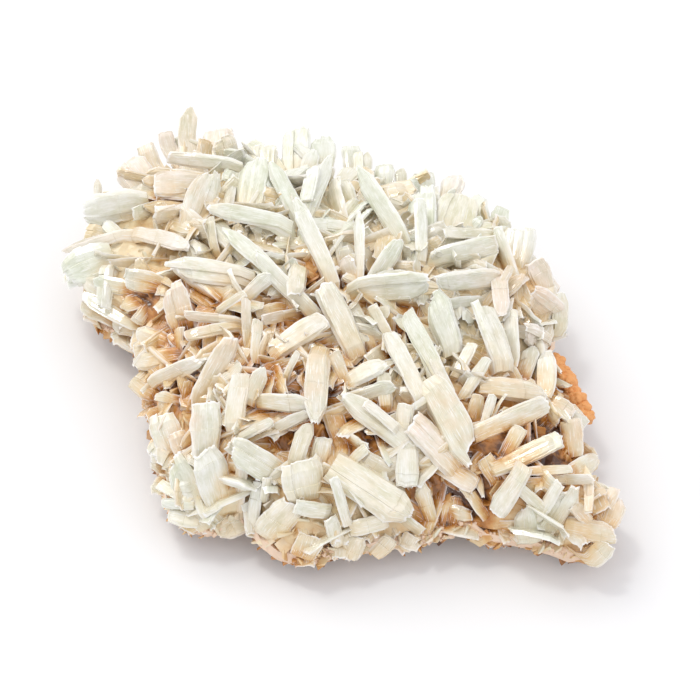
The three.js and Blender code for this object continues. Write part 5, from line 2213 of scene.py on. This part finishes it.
@dataclass(frozen=True)
class Studio:
    """The floor, the lights and the camera."""

    view: Viewpoint
    floor_size: float = 4.0
    sky: float = 1.02
    sky_colour: str = "f6f6fa"
    sensor: float = 36.0
    clip: tuple[float, float] = (0.01, 20)
    lamps: tuple[Lamp, ...] = (
        Lamp("window", (-0.42, 0.46, 0.7), 0.6, 2.2, "fffcf4"),
        Lamp("spark", (-0.2, 0.1, 0.75), 0.12, 0.9, "fffefa"),
        Lamp("fill", (0.6, -0.5, 0.6), 0.8, 0.8, "f6f8ff"),
    )

    def floor(self) -> None:
        """Lays the floor under the cluster."""
        half = self.floor_size / 2
        mesh = bpy.data.meshes.new("floor")
        corners = [(-half, -half, 0), (half, -half, 0), (half, half, 0), (-half, half, 0)]
        mesh.from_pydata(corners, [], [(0, 1, 2, 3)])
        mesh.materials.append(FloorFinish().material())
        floor = bpy.data.objects.new("floor", mesh)
        bpy.context.scene.collection.objects.link(floor)

    def light(self) -> None:
        """Sets the sky and the lamps."""
        world = bpy.data.worlds.new("sky")
        world.use_nodes = True
        sky = world.node_tree.nodes["Background"]
        sky.inputs["Color"].default_value = srgb(self.sky_colour)
        sky.inputs["Strength"].default_value = self.sky
        bpy.context.scene.world = world
        for lamp in self.lamps:
            data = bpy.data.lights.new(lamp.name, "AREA")
            data.size, data.energy, data.color = lamp.size, lamp.power, srgb(lamp.colour)[:3]
            made = bpy.data.objects.new(lamp.name, data)
            made.location = lamp.place
            made.rotation_mode = "QUATERNION"
            made.rotation_quaternion = (-Vector(lamp.place)).to_track_quat("-Z", "Y")
            bpy.context.scene.collection.objects.link(made)

    def camera(self) -> None:
        """Sets the camera at the photograph's viewpoint."""
        view = self.view
        data = bpy.data.cameras.new("camera")
        data.sensor_width = self.sensor
        data.lens = self.sensor * view.distance / (view.picture * view.mm_per_pixel)
        data.clip_start, data.clip_end = self.clip
        camera = bpy.data.objects.new("camera", data)
        camera.location = view.eye * MM
        camera.rotation_mode = "QUATERNION"
        camera.rotation_quaternion = Vector(-view.back).to_track_quat("-Z", "Y")
        bpy.context.scene.collection.objects.link(camera)
        bpy.context.scene.camera = camera

    def build(self) -> None:
        """Sets up the floor, the lights and the camera."""
        bpy.context.scene.view_settings.view_transform = "Standard"
        self.floor()
        self.light()
        self.camera()


@dataclass
class Cluster:
    """The whole cluster: its blades by region, massive barite, small plates, crust and rusty lumps."""

    form: Form
    seed: int = 21
    barite: BariteFinish = BariteFinish()
    ground: BariteFinish = BariteFinish(name="barite_in_the_gaps", roughness=0.4, subsurface=0.0, lines=0.7)
    crust: CrustFinish = CrustFinish()
    rust: RustFinish = RustFinish()

    def blades(self) -> None:
        """Builds the blades, a piece for each region, and two of the many that lie under them."""
        builder = BladeBuilder(BladeSizes(), np.random.default_rng(self.seed))
        plates = {name: [seen.placed(self.form) for seen in seen_blades]
                  for name, seen_blades in SeenBlades().regions().items()}
        plates["walls"] = FillBlades().plates(self.form)
        under = UnderBlades().plates(self.form)
        half = len(under) // 2
        plates["under_first"], plates["under_second"] = under[:half], under[half:]
        plates["rim"] = RimBlades().plates(self.form)
        for name, group in plates.items():
            buffer = MeshBuffer()
            for plate in group:
                builder.blade(plate, buffer)
            mesh = buffer.mesh(f"blades_{name}", self.form, self.barite.material())
            add_piece(mesh.name, mesh, "barite_blades")

    def build(self) -> None:
        """Builds every piece."""
        self.blades()
        MassiveBarite(self.form).build(self.ground)
        Druse(self.form).build(self.ground)
        RimShards(self.form).build(self.ground)
        Crust(self.form).build(self.crust)
        CrustGrains(self.form).build(self.crust)
        RustLumps(self.form, np.random.default_rng(self.seed)).build(self.rust)


def main() -> None:
    """Builds the cluster and its studio."""
    logging.basicConfig(level=logging.INFO, format="%(name)s: %(message)s")
    form = Form(Viewpoint())
    Cluster(form).build()
    Studio(form.view).build()


if __name__ == "__main__":
    main()
